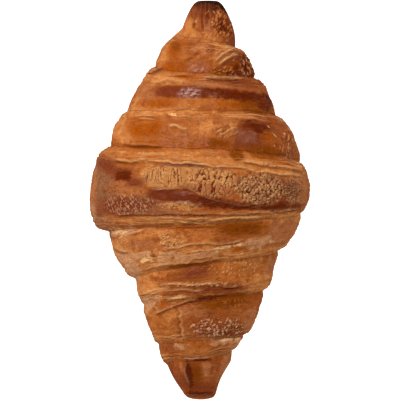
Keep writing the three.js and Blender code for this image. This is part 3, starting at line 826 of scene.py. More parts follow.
def skin_relief(thread, behind, shares, sizes, seed):
    """Wrinkles and lumps of the skin, which end at both edges of a turn."""
    wrinkle = added_lumps(thread, behind, WRINKLES, seed)
    lump = grain(thread / LUMP[0], behind / LUMP[1], seed + len(WRINKLES))
    relief = sizes.wrinkle / MM * wrinkle + sizes.lump / MM * lump
    return relief * smoothstep(shares, *RELIEF_START) * smoothstep(1 - shares, *RELIEF_END)


class Strip(NamedTuple):
    """One arm's visible dough: columns along the screw thread, rows from one free edge to the next."""

    points: np.ndarray
    values: dict


def roll_arm(arm, sizes, other=None):
    """Winds one arm's strip of dough and gives it its layers, waves and wrinkles."""
    edge = edge_curve(arm)
    swell = sides_curve(arm, "half", arm.nub.half)
    full = sides_curve(arm, "fullness", 1.0)
    last_turn = len(arm.turns)
    column = np.arange(sizes.columns * (last_turn + 1) + 1)
    turns = turns_at(column, sizes.columns)[:, None]
    angle = FULL_TURN * turns
    thread = np.concatenate(([0], np.cumsum(np.diff(angle[:, 0]) * swell(turns[1:, 0]))))[:, None]
    on_last = turns >= last_turn

    def wavy_edge(at, girth):
        wave = ripples(girth, EDGE_RIPPLES, arm.seed)
        free = smoothstep(at, 1, 1 + EDGE_START_TURNS) * smoothstep(last_turn + 1 - at, 0, EDGE_START_TURNS)
        return edge(at) + sizes.edge_wave / MM * wave * free

    next_girth = np.interp(turns + 1, turns[:, 0], thread[:, 0])
    start = wavy_edge(turns, thread)
    stop = np.where(on_last, arm.direction * TAIL_POINT, wavy_edge(turns + 1, next_girth))
    width = np.maximum(start - stop, 0)
    taper = np.where(on_last, np.minimum(1, width / NARROW_TURN), 1)
    fade = taper * smoothstep(turns, 1, 1 + EDGE_START_TURNS)

    def beneath(along):
        return np.where(turns < 2, nub_half(arm, along), swell(turns - 1))

    shares, reach = row_shares(turns, thread, arm.seed + SHEETS_SEED)
    along = start - (width - np.where(on_last, 0, np.minimum(CREASE_GAP, width / 2))) * shares
    behind = start - along
    growth = swell(turns) - beneath(along)
    lip_share = mix(*LIP_SHARE, np.where(np.cos(angle) < 0, np.sin(angle) ** 2, 1))
    rise = mix(lip_share, 1, swelling(shares, full(turns))) * growth
    drop = sheet_drop(thread, shares, reach, arm.seed + SHEET_SEED)
    relief = skin_relief(thread, behind, shares, sizes, arm.seed + RELIEF_SEED)
    body_half = beneath(along) + (rise - drop + relief) * fade

    lip = lip_share * growth[:, :1]
    edge_height = skin_points(arm, angle, start, beneath(start) + lip)[..., 2]
    free = fade * smoothstep(edge_height, *PRESSED)
    wave = grain(thread / CREASE_WAVE, thread * 0, arm.seed + CREASE_SEED)
    gape = arm.crease * free * CREASE_OPEN.by(wave)

    def lip_row(back, tall):
        where = start - back
        return where, beneath(where) + tall

    lip_rows = [lip_row(-CREASE_AHEAD * free, -CREASE_DEPTH * gape)]
    lip_rows += [lip_row(back * free, share * lip * fade) for back, share in LIP_ROWS]
    along = np.concatenate([row[0] for row in lip_rows] + [along], axis=1)
    half = np.concatenate([row[1] for row in lip_rows] + [body_half], axis=1)
    behind = np.concatenate([np.zeros((len(column), len(lip_rows))), behind], axis=1)
    crease = np.zeros(behind.shape)
    crease[:, :2] = gape * CREASE_SHADE
    girth = np.broadcast_to(thread, along.shape)
    weave = np.stack((girth, behind), axis=-1)
    if other is not None:
        last = slice(-sizes.columns - 1, None)
        beside = other.values["weave"][last, -1]
        weave[last, :, 0] = beside[:, :1]
        weave[last, :, 1] = beside[:, 1:] + behind[last, -1:] - behind[last]
    values = {
        "girth": girth,
        "behind": behind,
        "ahead": np.where(on_last, NARROW_TURN, width - behind),
        "crease": crease,
        "weave": weave,
        "turn": np.broadcast_to(arm.first_turn + column[:, None] // sizes.columns, along.shape),
    }
    return Strip(skin_points(arm, angle, along, half), values)


class MeshParts(NamedTuple):
    """A mesh as arrays: points in millimetres, triangles, and one value a point for each name."""

    points: np.ndarray
    triangles: np.ndarray
    values: dict


def flat_base(points):
    """Presses the dough flat where it would reach below the tray."""
    return np.concatenate((points[:, :2], np.maximum(points[:, 2:], 0)), axis=1)


def strip_index(strip, columns, first, seam):
    """Numbers of a strip's points, with each turn joined to the next edge and the last one to the seam."""
    count, rows = strip.points.shape[0] - 1, strip.points.shape[1]
    last = count - columns
    index = first + np.arange((count + 1) * rows).reshape(count + 1, rows)
    if seam is None:
        seam = index[last:count, rows - 1].copy()
    index = np.concatenate((index, index[:, :1]), axis=1)
    index[:last, rows] = index[columns:count, 0]
    # The strip has no width at its first column, and none at the tail's point
    index[0, :] = index[0, 0]
    index[columns, 0] = index[0, 0]
    index[last:count, rows - 1:] = seam[:, None]
    index[count, :] = seam[0]
    return index, seam


def ring_faces(inner, outer):
    """Triangles between two rings of as many points."""
    inner_next = np.roll(inner, -1)
    outer_next = np.roll(outer, -1)
    return [np.stack((inner, outer, outer_next), -1), np.stack((inner, outer_next, inner_next), -1)]


def tip_cap(arm, columns, ring, first):
    """The points that close an arm's rounded tip inside its first ring, and their triangles."""
    angles = FULL_TURN * turns_at(np.arange(columns), columns)
    caps = []
    faces = []
    for step in range(1, TIP_RINGS):
        out = step / TIP_RINGS
        along = tip_end(arm) + arm.nub.dome * math.sqrt(1 - (1 - out) ** 2)
        caps.append(skin_points(arm, angles, np.full_like(angles, along), arm.nub.end_half * (1 - out)))
        inner = first + (step - 1) * columns + np.arange(columns)
        faces += ring_faces(inner, ring)
        ring = inner
    caps.append(skin_points(arm, np.zeros(1), np.full(1, LENGTH / 2), 0))
    tip = np.full_like(ring, first + (TIP_RINGS - 1) * columns)
    faces.append(np.stack((tip, ring, np.roll(ring, -1)), -1))
    return np.concatenate(caps), faces


def roll_dough(sizes):
    """The whole skin as one closed mesh: both arms' strips, joined along the middle of the last turn."""
    points, triangles, values = [], [], {}
    total = 0
    seam = None
    strip = None
    for arm in (FAR_ARM, NEAR_ARM):
        strip = roll_arm(arm, sizes, strip)
        index, seam = strip_index(strip, sizes.columns, total, seam)
        grid = strip.points.reshape(-1, 3)
        cap, cap_faces = tip_cap(arm, sizes.columns, index[:sizes.columns, 0], total + len(grid))
        low, high = index[:-1], index[1:]
        faces = [
            np.stack((low[:, :-1], high[:, 1:], high[:, :-1]), -1),
            np.stack((low[:, :-1], low[:, 1:], high[:, 1:]), -1),
            *cap_faces,
        ]
        flat = np.concatenate([face.reshape(-1, 3) for face in faces])
        triangles.append(flat if arm.direction > 0 else flat[:, ::-1])
        points.append(np.concatenate((grid, cap)))
        for name, value in strip.values.items():
            on_strip = value.reshape(len(grid), *value.shape[2:])
            on_cap = np.full((len(cap), *value.shape[2:]), CAP_VALUES.get(name, on_strip[0]))
            values.setdefault(name, []).append(np.concatenate((on_strip, on_cap)))
        total += len(points[-1])
    joined = {name: np.concatenate(value) for name, value in values.items()}
    return used_only(flat_base(np.concatenate(points)), np.concatenate(triangles), joined)


def used_only(points, triangles, values):
    """Leaves out triangles with no area and the points that nothing uses."""
    a, b, c = triangles.T
    triangles = triangles[(a != b) & (b != c) & (c != a)]
    used, flat = np.unique(triangles, return_inverse=True)
    kept = {name: value[used] for name, value in values.items()}
    return MeshParts(points[used], flat.reshape(-1, 3), kept)


def point_normals(points, triangles):
    """Outward unit normals of a mesh's points."""
    corners = points[triangles]
    across = np.cross(corners[:, 1] - corners[:, 0], corners[:, 2] - corners[:, 0])
    normals = np.zeros_like(points)
    for k in range(3):
        np.add.at(normals, triangles[:, k], across)
    return normals / np.maximum(np.linalg.norm(normals, axis=1, keepdims=True), LEAST_LENGTH)


def photo_place(pixel):
    """Where a photo pixel lies on the floor plan, in millimetres."""
    return np.array(((pixel[0] - PHOTO_MIDDLE) * PIXEL, (PHOTO_MIDDLE - pixel[1]) * PIXEL))


def near_spot(spot, points, normals, margin):
    """Which points may lie within a margin, in millimetres, of a spot."""
    x, y = photo_place(spot.at)
    reach = max(spot.reach) * PIXEL + margin
    return np.flatnonzero((np.hypot(points[:, 0] - x, points[:, 1] - y) < reach) & (normals[:, 2] > SEEN))


def middle_of(spot, points):
    """Which point lies closest to a spot's middle, seen from above."""
    x, y = photo_place(spot.at)
    return np.argmin((points[:, 0] - x) ** 2 + (points[:, 1] - y) ** 2)


def turned(across, up, degrees):
    """Places on a plan that is turned anticlockwise."""
    lean = math.radians(degrees)
    return across * math.cos(lean) + up * math.sin(lean), up * math.cos(lean) - across * math.sin(lean)


def spot_distance(spot, points, power):
    """Each point's distance from a spot's middle, as a share of its reach. High powers make it squarer."""
    away = points - points[middle_of(spot, points)]
    across = np.hypot(away[:, 0], SPOT_SLOPE * away[:, 2]) * np.sign(away[:, 0])
    along, over = turned(across, away[:, 1], spot.tilt)
    long, wide = (reach * PIXEL for reach in spot.reach)
    return (np.abs(along / long) ** power + np.abs(over / wide) ** power) ** (1 / power)


def field_weight(field, points):
    """How much each point belongs to a field, from 0 to 1, with a ragged border."""
    away = spot_distance(field._replace(tilt=0), points, FIELD_SQUARENESS)
    ragged = added_lumps(points[:, 0], points[:, 1], FIELD_BORDER, BORDER_SEED)
    return 1 - smoothstep(away + FIELD_RAGGED * ragged, *FIELD_FADE[field.kind])


def near_ledge(ledge, points, normals):
    """Which points may lie on a ledge's sheet."""
    places = np.array([photo_place(pixel) for pixel in ledge.course])
    low = places.min(axis=0) - LEDGE_MARGIN
    high = places.max(axis=0) + LEDGE_MARGIN
    inside = ((points[:, :2] > low) & (points[:, :2] < high)).all(axis=1)
    return np.flatnonzero(inside & (normals[:, 2] > 0))


def ledge_plan(ledge, points):
    """Each point's distance to the left of a ledge's line, from above, and how much the ledge shows."""
    places = np.array([photo_place(pixel) for pixel in ledge.course])
    steps = np.diff(places, axis=0)
    nearest = np.full(len(points), np.inf)
    aside = np.zeros(len(points))
    along = np.zeros(len(points))
    run = 0.0
    for start, step, length in zip(places, steps, np.linalg.norm(steps, axis=1)):
        away = points[:, :2] - start
        share = np.clip(away @ step / length ** 2, 0, 1)
        distance = np.linalg.norm(away - share[:, None] * step, axis=1)
        closer = distance < nearest
        nearest = np.where(closer, distance, nearest)
        left = np.sign(step[0] * away[:, 1] - step[1] * away[:, 0])
        aside = np.where(closer, distance * left, aside)
        along = np.where(closer, run + share * length, along)
        run += length

    def wave(length, row, number):
        return grain(along / length, np.full_like(along, row), LEDGE_SEED + number)

    waves = enumerate(LEDGE_WANDER)
    wander = sum(reach * wave(length, places[0, k], k) for k, (length, reach) in waves)
    strength = LEDGE_SHOWS.by(wave(LEDGE_SHOWS_WAVE, places[0, 0], len(LEDGE_WANDER)))
    fade = min(LEDGE_FADE, run * LEDGE_FADE_SHARE)
    ends = smoothstep(along, 0, fade) * smoothstep(run - along, 0, fade)
    return aside + wander, ends * strength


def scattered_cells(x, y, seed):
    """The nearest scattered point's distance and draw, and the ways to it and to the second nearest."""
    rng = np.random.default_rng(seed)
    shift = rng.uniform(*SCATTER, (GRAIN_CELLS, GRAIN_CELLS, 2))
    draws = rng.uniform(0, 1, (GRAIN_CELLS, GRAIN_CELLS))
    column = np.floor(x).astype(int)
    row = np.floor(y).astype(int)
    nearest = np.full(x.shape, np.inf)
    second = nearest.copy()
    draw = np.zeros(x.shape)
    to_nearest = np.zeros((2, *x.shape))
    to_second = to_nearest.copy()
    for i in (-1, 0, 1):
        for j in (-1, 0, 1):
            cell = (column + i) % GRAIN_CELLS, (row + j) % GRAIN_CELLS
            to_here = np.stack((column + i + shift[cell][..., 0] - x, row + j + shift[cell][..., 1] - y))
            away = np.hypot(*to_here)
            closer = away < nearest
            between = ~closer & (away < second)
            to_second = np.where(closer, to_nearest, np.where(between, to_here, to_second))
            second = np.where(closer, nearest, np.where(between, away, second))
            to_nearest = np.where(closer, to_here, to_nearest)
            nearest = np.where(closer, away, nearest)
            draw = np.where(closer, draws[cell], draw)
    return nearest, draw, to_nearest, to_second


def border_distance(to_nearest, to_second, cell):
    """How far each place is, in millimetres, from the border between its own cell and the next one."""
    apart = to_second - to_nearest
    middle = (to_second + to_nearest) / 2
    return (middle * apart).sum(axis=0) / np.hypot(apart[0] / cell[0], apart[1] / cell[1])


def field_plan(field, points):
    """Each point's place on a field's own plan, in millimetres, as if the crust were unrolled."""
    half = WIDTH / 2 * (1 - SPINDLE_TAPER * np.abs(points[:, 1]) / (LENGTH / 2))
    half = np.maximum(half, SPINDLE_ROOM * np.abs(points[:, 0]))
    around = half * np.arcsin(points[:, 0] / half)
    middle = middle_of(field, points)
    return turned(around - around[middle], points[:, 1] - points[middle, 1], field.tilt)


def warped(x, y, seed):
    """How far each place of a field is pushed along and across, in cells."""
    pushes = []
    for way in (0, 1):
        seeds = (seed + way, seed + way + 2)
        noises = zip(WARP_NOISES, seeds)
        pushes.append(WARP * sum(share * grain(x * fine, y * fine, own) for (fine, share), own in noises))
    return pushes


def cracked(field, x, y, warp, seed):
    """Plates of glaze with cracks between them: their height, and how strongly tops and gaps show."""
    nearest, draw, *ways = scattered_cells(x + warp[0], y + warp[1], seed)
    areas = grain(x / CRACK_AREA, y / CRACK_AREA, seed + AREA_SEED)
    present = smoothstep(areas, *(onset - field.share for onset in CRACK_ONSET))
    swing = grain(x * CRACK_WIDTH_FINENESS, y * CRACK_WIDTH_FINENESS, seed + WIDTH_SEED)
    width = CRACK_WIDTH * CRACK_WIDTHS.by(swing)
    border = border_distance(*ways, field.cell)
    groove = (1 - smoothstep(border / width, *CRACK_WALL)) * present
    rim = np.exp(-((border - PLATE_RIM) / PLATE_RIM) ** 2)
    dome = 1 - smoothstep(nearest, *PLATE_DOME)
    everywhere, by_draw, on_rim = PLATE_LIGHT
    tops = (everywhere + by_draw * draw + on_rim * rim) * (1 - groove) * present
    return field.depth * (PLATE_RISE * dome * present - groove), tops, groove


def blistered(field, x, y, warp, seed):
    """Round blisters, each in a ring of shade: their height, and how strongly tops and gaps show."""
    nearest, draw, *_ = scattered_cells(x + warp[0], y + warp[1], seed)
    away = nearest / mix(*BLISTER_RADIUS, draw / field.share)
    raised = draw < field.share
    dome = np.where(raised, np.clip(1 - away ** 2, 0, 1), 0)
    shade = smoothstep(away, *BLISTER_SHADE_START) * (1 - smoothstep(away, *BLISTER_SHADE_END))
    return field.depth * np.sqrt(dome), dome, np.where(raised, shade, 0)


def streaked(field, x, y, warp, seed):
    """Streaks: of dried egg wash, and in the fields with the painted glint tone, of painted highlight: their
    height, and how strongly tops and gaps show.
    """
    x = x + STREAK_BEND * warp[0]
    y = y + STREAK_BEND * warp[1]
    finer = grain(STREAK_FINENESS * x, STREAK_FINENESS * y, seed + STREAK_SEED + 1)
    wave = grain(x, y, seed + STREAK_SEED) + STREAK_SHARE * finer
    onset = STREAK_ONSET[0] - field.share, STREAK_ONSET[1]
    return field.depth * wave, smoothstep(wave, *onset), smoothstep(-wave, *onset)


RELIEFS = {"cracks": cracked, "blisters": blistered, "streaks": streaked}


def field_relief(field, points, seed):
    """Height in millimetres, and how strongly the tops and the gaps show, at each point of a field."""
    along, over = field_plan(field, points)
    x = along / field.cell[0]
    y = over / field.cell[1]
    return RELIEFS[field.kind](field, x, y, warped(x, y, seed), seed)


def refined(dough, chosen):
    """The mesh with its long sides between chosen points halved, and the triangles on them cut to match."""
    triangles = dough.triangles
    sides = np.sort(np.stack((triangles, np.roll(triangles, -1, axis=1)), axis=-1), axis=-1)
    edges, which = np.unique(sides.reshape(-1, 2), axis=0, return_inverse=True)
    length = np.linalg.norm(dough.points[edges[:, 0]] - dough.points[edges[:, 1]], axis=-1)
    split = chosen[edges].all(axis=1) & (length > LONG_SIDE)
    middle = np.full(len(edges), -1)
    middle[split] = len(dough.points) + np.arange(split.sum())
    middle = middle[which.reshape(-1, 3)]
    halved = (middle >= 0).sum(axis=1)
    faces = [triangles[halved == 0]]
    # A triangle with three halved sides is cut in four, one with one in two, and one with two in three
    a, b, c = triangles[halved == 3].T
    ab, bc, ca = middle[halved == 3].T
    faces += [np.stack(corners, -1) for corners in ((a, ab, ca), (ab, b, bc), (ca, bc, c), (ab, bc, ca))]
    for side in range(3):
        here = (halved == 1) & (middle[:, side] >= 0)
        a, b, c = np.roll(triangles[here], -side, axis=1).T
        ab = middle[here, side]
        faces += [np.stack(corners, -1) for corners in ((a, ab, c), (ab, b, c))]
        here = (halved == 2) & (middle[:, side - 1] < 0)
        a, b, c = np.roll(triangles[here], -side, axis=1).T
        ab, bc = middle[here, side], middle[here, side - 2]
        faces += [np.stack(corners, -1) for corners in ((a, ab, bc), (ab, b, bc), (a, bc, c))]
    first, second = edges[split].T

    def with_middles(value):
        return np.concatenate((value, (value[first] + value[second]) / 2))

    values = {name: with_middles(value) for name, value in dough.values.items()}
    values["turn"] = np.concatenate((dough.values["turn"], dough.values["turn"][first]))
    return MeshParts(with_middles(dough.points), np.concatenate(faces), values)


def detailed(dough):
    """The mesh made finer where the crust has cracks, blisters or streaks, and along the ledges."""
    for _ in range(REFINEMENTS):
        normals = point_normals(dough.points, dough.triangles)
        chosen = np.zeros(len(dough.points), bool)
        for field in FIELDS:
            near = near_spot(field, dough.points, normals, FIELD_MARGIN)
            chosen[near] |= field_weight(field, dough.points[near]) > FIELD_REFINED
        for ledge in LEDGES:
            near = near_ledge(ledge, dough.points, normals)
            aside, shows = ledge_plan(ledge, dough.points[near])
            chosen[near] |= (np.abs(aside) < LEDGE_REFINED) & (shows > 0)
        dough = refined(dough, chosen)
    return dough


class Overlay:
    """Colour laid over the crust's own tone, point by point, painted highlights and shadows among it."""

    def __init__(self, count):
        self.colour = np.zeros((count, 3))
        self.cover = np.zeros(count)

    def lay(self, colour, weight, where=slice(None)):
        """Lays a colour over what is there."""
        cover = weight + self.cover[where] * (1 - weight)
        share = weight / np.maximum(cover, LEAST_COVER)
        self.colour[where] = mix(self.colour[where], np.array(colour), share[:, None])
        self.cover[where] = cover


def raise_details(dough, tones):
    """The mesh with its fields and ledges raised, and the colour that lies on them, with painted shadow and
    highlight at the ledges and painted glints in some fields.
    """
    points = dough.points
    normals = point_normals(points, dough.triangles)
    lift = np.zeros(len(points))
    overlay = Overlay(len(points))
    for number, field in enumerate(FIELDS):
        near = near_spot(field, points, normals, FIELD_MARGIN)
        weight = field_weight(field, points[near])
        height, tops, gaps = field_relief(field, points[near], FIELD_SEED + SEEDS_PER_FIELD * number)
        lift[near] += weight * height
        overlay.lay(getattr(tones, field.tone), weight * tops * field.light, near)
        # Dark in the cracks, and painted shade in the ring round each blister
        overlay.lay(tones.dark, weight * gaps * field.gap, near)
    for ledge in LEDGES:
        near = near_ledge(ledge, points, normals)
        aside, shows = ledge_plan(ledge, points[near])
        shows = shows * smoothstep(normals[near, 2], *LEDGE_FLANK)
        sheet = smoothstep(aside, -LEDGE_WALL, LEDGE_WALL) * np.exp(-np.maximum(aside, 0) / LEDGE_FALL)
        groove = np.exp(-((aside + LEDGE_SHADE) / LEDGE_SHADE) ** 2)
        rim = np.exp(-((aside - LEDGE_LIGHT) / LEDGE_LIGHT) ** 2)
        lift[near] += ledge.step * shows * (sheet - LEDGE_GROOVE * groove)
        # Painted shadow in the groove below the sheet, and on its rim cream of the torn edge with a painted
        # highlight
        overlay.lay(tones.dark, LEDGE_DARKEST * shows * groove * ledge.shade, near)
        overlay.lay(tones.cream, shows * rim * ledge.light, near)
    return dough._replace(points=flat_base(points + normals * lift[:, None])), overlay


def over_dough(values, lumps, row=0):
    """Noise on the unrolled dough at every point."""
    x = values["girth"] / lumps.length + lumps.shift * values["turn"]
    return grain(x, values["behind"] / lumps.width + row, lumps.seed)


def browning(dough, normals):
    """The tones that baking gives by rule, with their weights, and how much the dough's layers show."""
    values = dough.values
    slow = over_dough(values, SLOW)
    quick = over_dough(values, QUICK)
    mean, by_slow, by_quick = BAKE
    bake = np.clip(mean + by_slow * slow + by_quick * quick, 0, 1)
    bare = smoothstep(over_dough(values, BARE), *EDGE_BARE)
    band = 1 - smoothstep(values["behind"] + EDGE_SWING * slow, *EDGE_BAND)
    by_edge = band * mix(EDGE_LEAST, 1, bare) * (values["turn"] % NEAR_TURNS > 0)
    valley = 1 - smoothstep(values["ahead"] + EDGE_SWING * quick, *VALLEY_BAND)
    rules = (
        ("brown", bake),
        ("pale", PALE_EDGE * by_edge),
        # Amber before the next edge: partly thin skin, partly painted shade under the overlapping turn
        ("amber", VALLEY_AMBER_AND_SHADE * valley),
        ("dull", DULL_FLANK * smoothstep(-normals[:, 2], *FLANK)),
        ("brown", 1 - smoothstep(dough.points[:, 2], *BASE_BAND)),
    )
    mean, by_slow = LAYERS
    behind_rim = smoothstep(values["behind"], *EDGE_RIM)
    layers = np.clip(by_edge * (mean + by_slow * slow) * behind_rim, 0, 1) * (1 - values["crease"])
    return rules, layers


def tone_depths(dough, normals):
    """Each point's depth inside every tone, in millimetres: by rule on the flanks, by patches on top."""
    points = dough.points
    shown = smoothstep(normals[:, 2], *FROM_ABOVE)
    depths = {}
    for number, name in enumerate(FINISHES):
        depths[name] = np.full(len(points), -FAR_OFF)
        if name in TONE_SPREAD:
            lumps = SPREAD._replace(seed=SPREAD.seed + number)
            spread = TONE_SPREAD[name] + TONE_SWING * over_dough(dough.values, lumps, SPREAD_ROWS * number)
            depths[name] = np.clip(spread - 2 * FAR_OFF * shown, -FAR_OFF, FAR_OFF)
        for patch in PATCHES[name]:
            near = near_spot(patch, points, normals, FAR_OFF * max(patch.reach) / min(patch.reach))
            away = spot_distance(patch, points[near], PATCH_SQUARENESS)
            under = 1 - smoothstep(normals[near, 2], SEEN, TURNED_UNDER)
            inside = (1 - away) * max(min(patch.reach) * PIXEL, BOLD) - 2 * FAR_OFF * under
            depths[name][near] = np.maximum(depths[name][near], np.clip(inside, -FAR_OFF, FAR_OFF))
    return depths


def crust_finish(dough, overlay, tones):
    """What the material reads at every point: base tone, gloss, layers, and its depth inside each tone."""
    normals = point_normals(dough.points, dough.triangles)
    paint = np.broadcast_to(np.array(tones.honey), dough.points.shape)
    gloss = np.full(len(paint), FINISHES["honey"].gloss)
    rules, layers = browning(dough, normals)
    for name, weight in rules:
        paint = mix(paint, np.array(getattr(tones, name)), weight[:, None])
        gloss = mix(gloss, FINISHES[name].gloss, weight)
    depths = tone_depths(dough, normals)
    for name, depth in depths.items():
        gloss = mix(gloss, FINISHES[name].gloss, smoothstep(depth, *GLOSS_BORDER))
    # Painted shade, over deeper browning, in the creases
    overlay.lay(tones.window, CREASE_BROWN_AND_SHADE * dough.values["crease"])
    turn = dough.values["turn"]
    turn = np.where(turn == LAST_NEAR_TURN, LAST_FAR_TURN, turn)
    return {
        "tone": np.column_stack((paint, np.ones(len(paint)))),
        "gloss": gloss,
        "layers": layers,
        "overlay": np.column_stack((overlay.colour, overlay.cover)),
        "dough": np.column_stack((dough.values["weave"], turn * TURNS_APART)),
        **{f"in_{name}": depth for name, depth in depths.items()},
    }


class Value:
    """A number, colour or vector that a shader node puts out, with some arithmetic."""

    def __init__(self, socket):
        self.socket = socket

    def worked(self, operation, other=0.0):
        """The result of arithmetic with another value or a number."""
        inputs = {0: self, 1: other}
        return Value(add_node(self.socket.id_data, "ShaderNodeMath", inputs, operation=operation).outputs[0])

    def __add__(self, other):
        return self.worked("ADD", other)

    def __mul__(self, other):
        return self.worked("MULTIPLY", other)

    def __truediv__(self, other):
        return self.worked("DIVIDE", other)

    def ranged(self, low, high, to_low=0.0, to_high=1.0):
        """A smooth change from one number to another as this value goes from low to high."""
        inputs = {"Value": self, "From Min": low, "From Max": high, "To Min": to_low, "To Max": to_high}
        node = add_node(self.socket.id_data, "ShaderNodeMapRange", inputs, interpolation_type="SMOOTHSTEP")
        return Value(node.outputs["Result"])

    def swung(self, swing):
        """Noise between 0 and 1 made into a swing of so much to either side of zero."""
        return self.worked("SUBTRACT", 0.5) * (2 * swing)


def fill(node, inputs):
    """Links or sets inputs of a node."""
    for key, value in inputs.items():
        if isinstance(value, Value):
            node.id_data.links.new(value.socket, node.inputs[key])
        else:
            node.inputs[key].default_value = value


def add_node(tree, kind, inputs=None, **settings):
    """A shader node with its settings made and its inputs linked or set."""
    node = tree.nodes.new(kind)
    for key, value in settings.items():
        setattr(node, key, value)
    fill(node, inputs or {})
    return node


def attribute(tree, name, output="Fac"):
    """One of the mesh's own attributes."""
    return Value(add_node(tree, "ShaderNodeAttribute", attribute_name=name).outputs[output])


def mixed(share, a, b, blend_type="MIX"):
    """One colour mixed over another."""
    inputs = {MIX_SHARE: share, MIX_A: a, MIX_B: b}
    settings = {"data_type": "RGBA", "blend_type": blend_type}
    return Value(add_node(share.socket.id_data, "ShaderNodeMix", inputs, **settings).outputs[MIX_RESULT])


def millimetres(tree):
    """The place on the object, in millimetres."""
    inputs = {0: Value(add_node(tree, "ShaderNodeTexCoord").outputs["Object"]), "Scale": 1 / MM}
    return Value(add_node(tree, "ShaderNodeVectorMath", inputs, operation="SCALE").outputs[0])


def noise(tree, vector, scale, detail):
    """Noise between 0 and 1."""
    inputs = {"Vector": vector, "Scale": scale, "Detail": detail}
    return Value(add_node(tree, "ShaderNodeTexNoise", inputs).outputs["Fac"])


def streaks(tree, along, across, detail):
    """Noise between 0 and 1 that is drawn out along the dough's thread, its lumps given in millimetres."""
    inputs = {0: attribute(tree, "dough", "Vector"), 1: (1 / along, 1 / across, 1.0)}
    stretched = add_node(tree, "ShaderNodeVectorMath", inputs, operation="MULTIPLY").outputs[0]
    return noise(tree, Value(stretched), 1.0, detail)


def new_material(name, sockets):
    """A material, with the shader's sockets that are the same all over the surface, and its shader."""
    material = bpy.data.materials.new(name)
    material.use_nodes = True
    shader = material.node_tree.nodes["Principled BSDF"]
    fill(shader, sockets)
    return material, shader


def toned(tree, ragged, tones):
    """The crust's colour: each tone laid over the earlier ones with a ragged border."""
    color = attribute(tree, "tone", "Color")
    for name, finish in FINISHES.items():
        depth = attribute(tree, f"in_{name}") + ragged * finish.ragged
        color = mixed(depth.ranged(-finish.blur, finish.blur), color, (*getattr(tones, name), 1))
    return color


def baked_crust(tones):
    """The crust's material: its tones with ragged borders, streaks, layer lines and a fine grain."""
    material, shader = new_material("baked_crust", CRUST_SOCKETS)
    tree = material.node_tree
    place = millimetres(tree)
    blotches = noise(tree, place, *BLOTCHES)
    fine = noise(tree, place, *FINE_GRAIN)
    long_streaks = streaks(tree, *LONG_STREAKS)
    short_streaks = streaks(tree, *SHORT_STREAKS)
    gloss = attribute(tree, "gloss")
    dry = gloss.ranged(*DRY)
    contour = streaks(tree, *WRINKLE_LINES).swung(1.0).worked("ABSOLUTE")
    wrinkles = contour.ranged(0.0, WRINKLE_WIDTH, 1.0, 0.0) * blotches.ranged(*WRINKLE_AREAS) * dry

    by_streaks, by_grain, by_blotches = BORDER_SWING
    ragged = long_streaks.swung(by_streaks) + fine.swung(by_grain) + blotches.swung(by_blotches)
    color = toned(tree, ragged, tones)
    by_streaks, by_grain, by_blotches = TEXTURE_SWING
    texture = (short_streaks.swung(by_streaks) + fine.swung(by_grain)) * dry + blotches.swung(by_blotches)
    for (tint, strength), limit in ((DARKENED, -TEXTURE_RANGE), (LIGHTENED, TEXTURE_RANGE)):
        color = mixed(texture.ranged(0.0, limit, 0.0, strength), color, tint, "MULTIPLY")
    color = mixed(wrinkles * WRINKLE_SHARE, color, WRINKLE_LIGHT, "MULTIPLY")

    layers = attribute(tree, "layers")
    lines = streaks(tree, *LAYER_LINES)
    weave = add_node(tree, "ShaderNodeSeparateXYZ", {0: attribute(tree, "dough", "Vector")})
    climb = Value(weave.outputs["Y"]) / TERRACE_WIDTH + streaks(tree, *TERRACE_SWAY).swung(TERRACE_SWING)
    terrace = climb.worked("FRACT")
    bands = streaks(tree, *LAYER_BANDS).ranged(*BAND_ONSET) * BAND_SHARE
    terraced = layers.worked("MAXIMUM", bands) * dry
    followed = {"terrace": (terrace, terraced), "lines": (lines, layers)}
    for mark in MARKS:
        along, shows = followed[mark.follows]
        share = along.ranged(*mark.onset) * shows * mark.strength
        color = mixed(share, color, (*getattr(tones, mark.tone), 1))
    # The overlay holds the fields' marks and the painted shadows and highlights of ledges, creases and glints
    overlay = add_node(tree, "ShaderNodeAttribute", attribute_name="overlay").outputs
    color = mixed(Value(overlay["Alpha"]), color, Value(overlay["Color"]))

    streak_share, grain_share = BUMP_GRAIN
    rough_grain = (short_streaks * streak_share + fine * grain_share) * dry
    height = lines * layers
    for part, share in zip((rough_grain, wrinkles, blotches, terrace * terraced), BUMP_SHARES):
        height = height + part * share
    bump = add_node(tree, "ShaderNodeBump", {"Height": height, "Strength": 1.0, "Distance": BUMP_DISTANCE})
    fill(shader, {
        "Base Color": color,
        "Roughness": gloss.ranged(0.0, 1.0, *ROUGHNESS) + fine.swung(ROUGHNESS_SWING),
        "Coat Weight": gloss.ranged(COAT_FROM, 1.0, 0.0, COAT_WEIGHT),
        "Normal": Value(bump.outputs["Normal"]),
    })
    return material


def pale_floor():
    """The floor's material: a matt white table that is lit from below, so that shadows on it are faint."""
    material, shader = new_material("pale_floor", FLOOR_SOCKETS)
    tree = material.node_tree
    clouds = noise(tree, millimetres(tree), *FLOOR_CLOUDS).ranged(*FLOOR_CLOUD_RANGE)
    fill(shader, {"Base Color": mixed(clouds, *FLOOR_GREYS)})
    return material


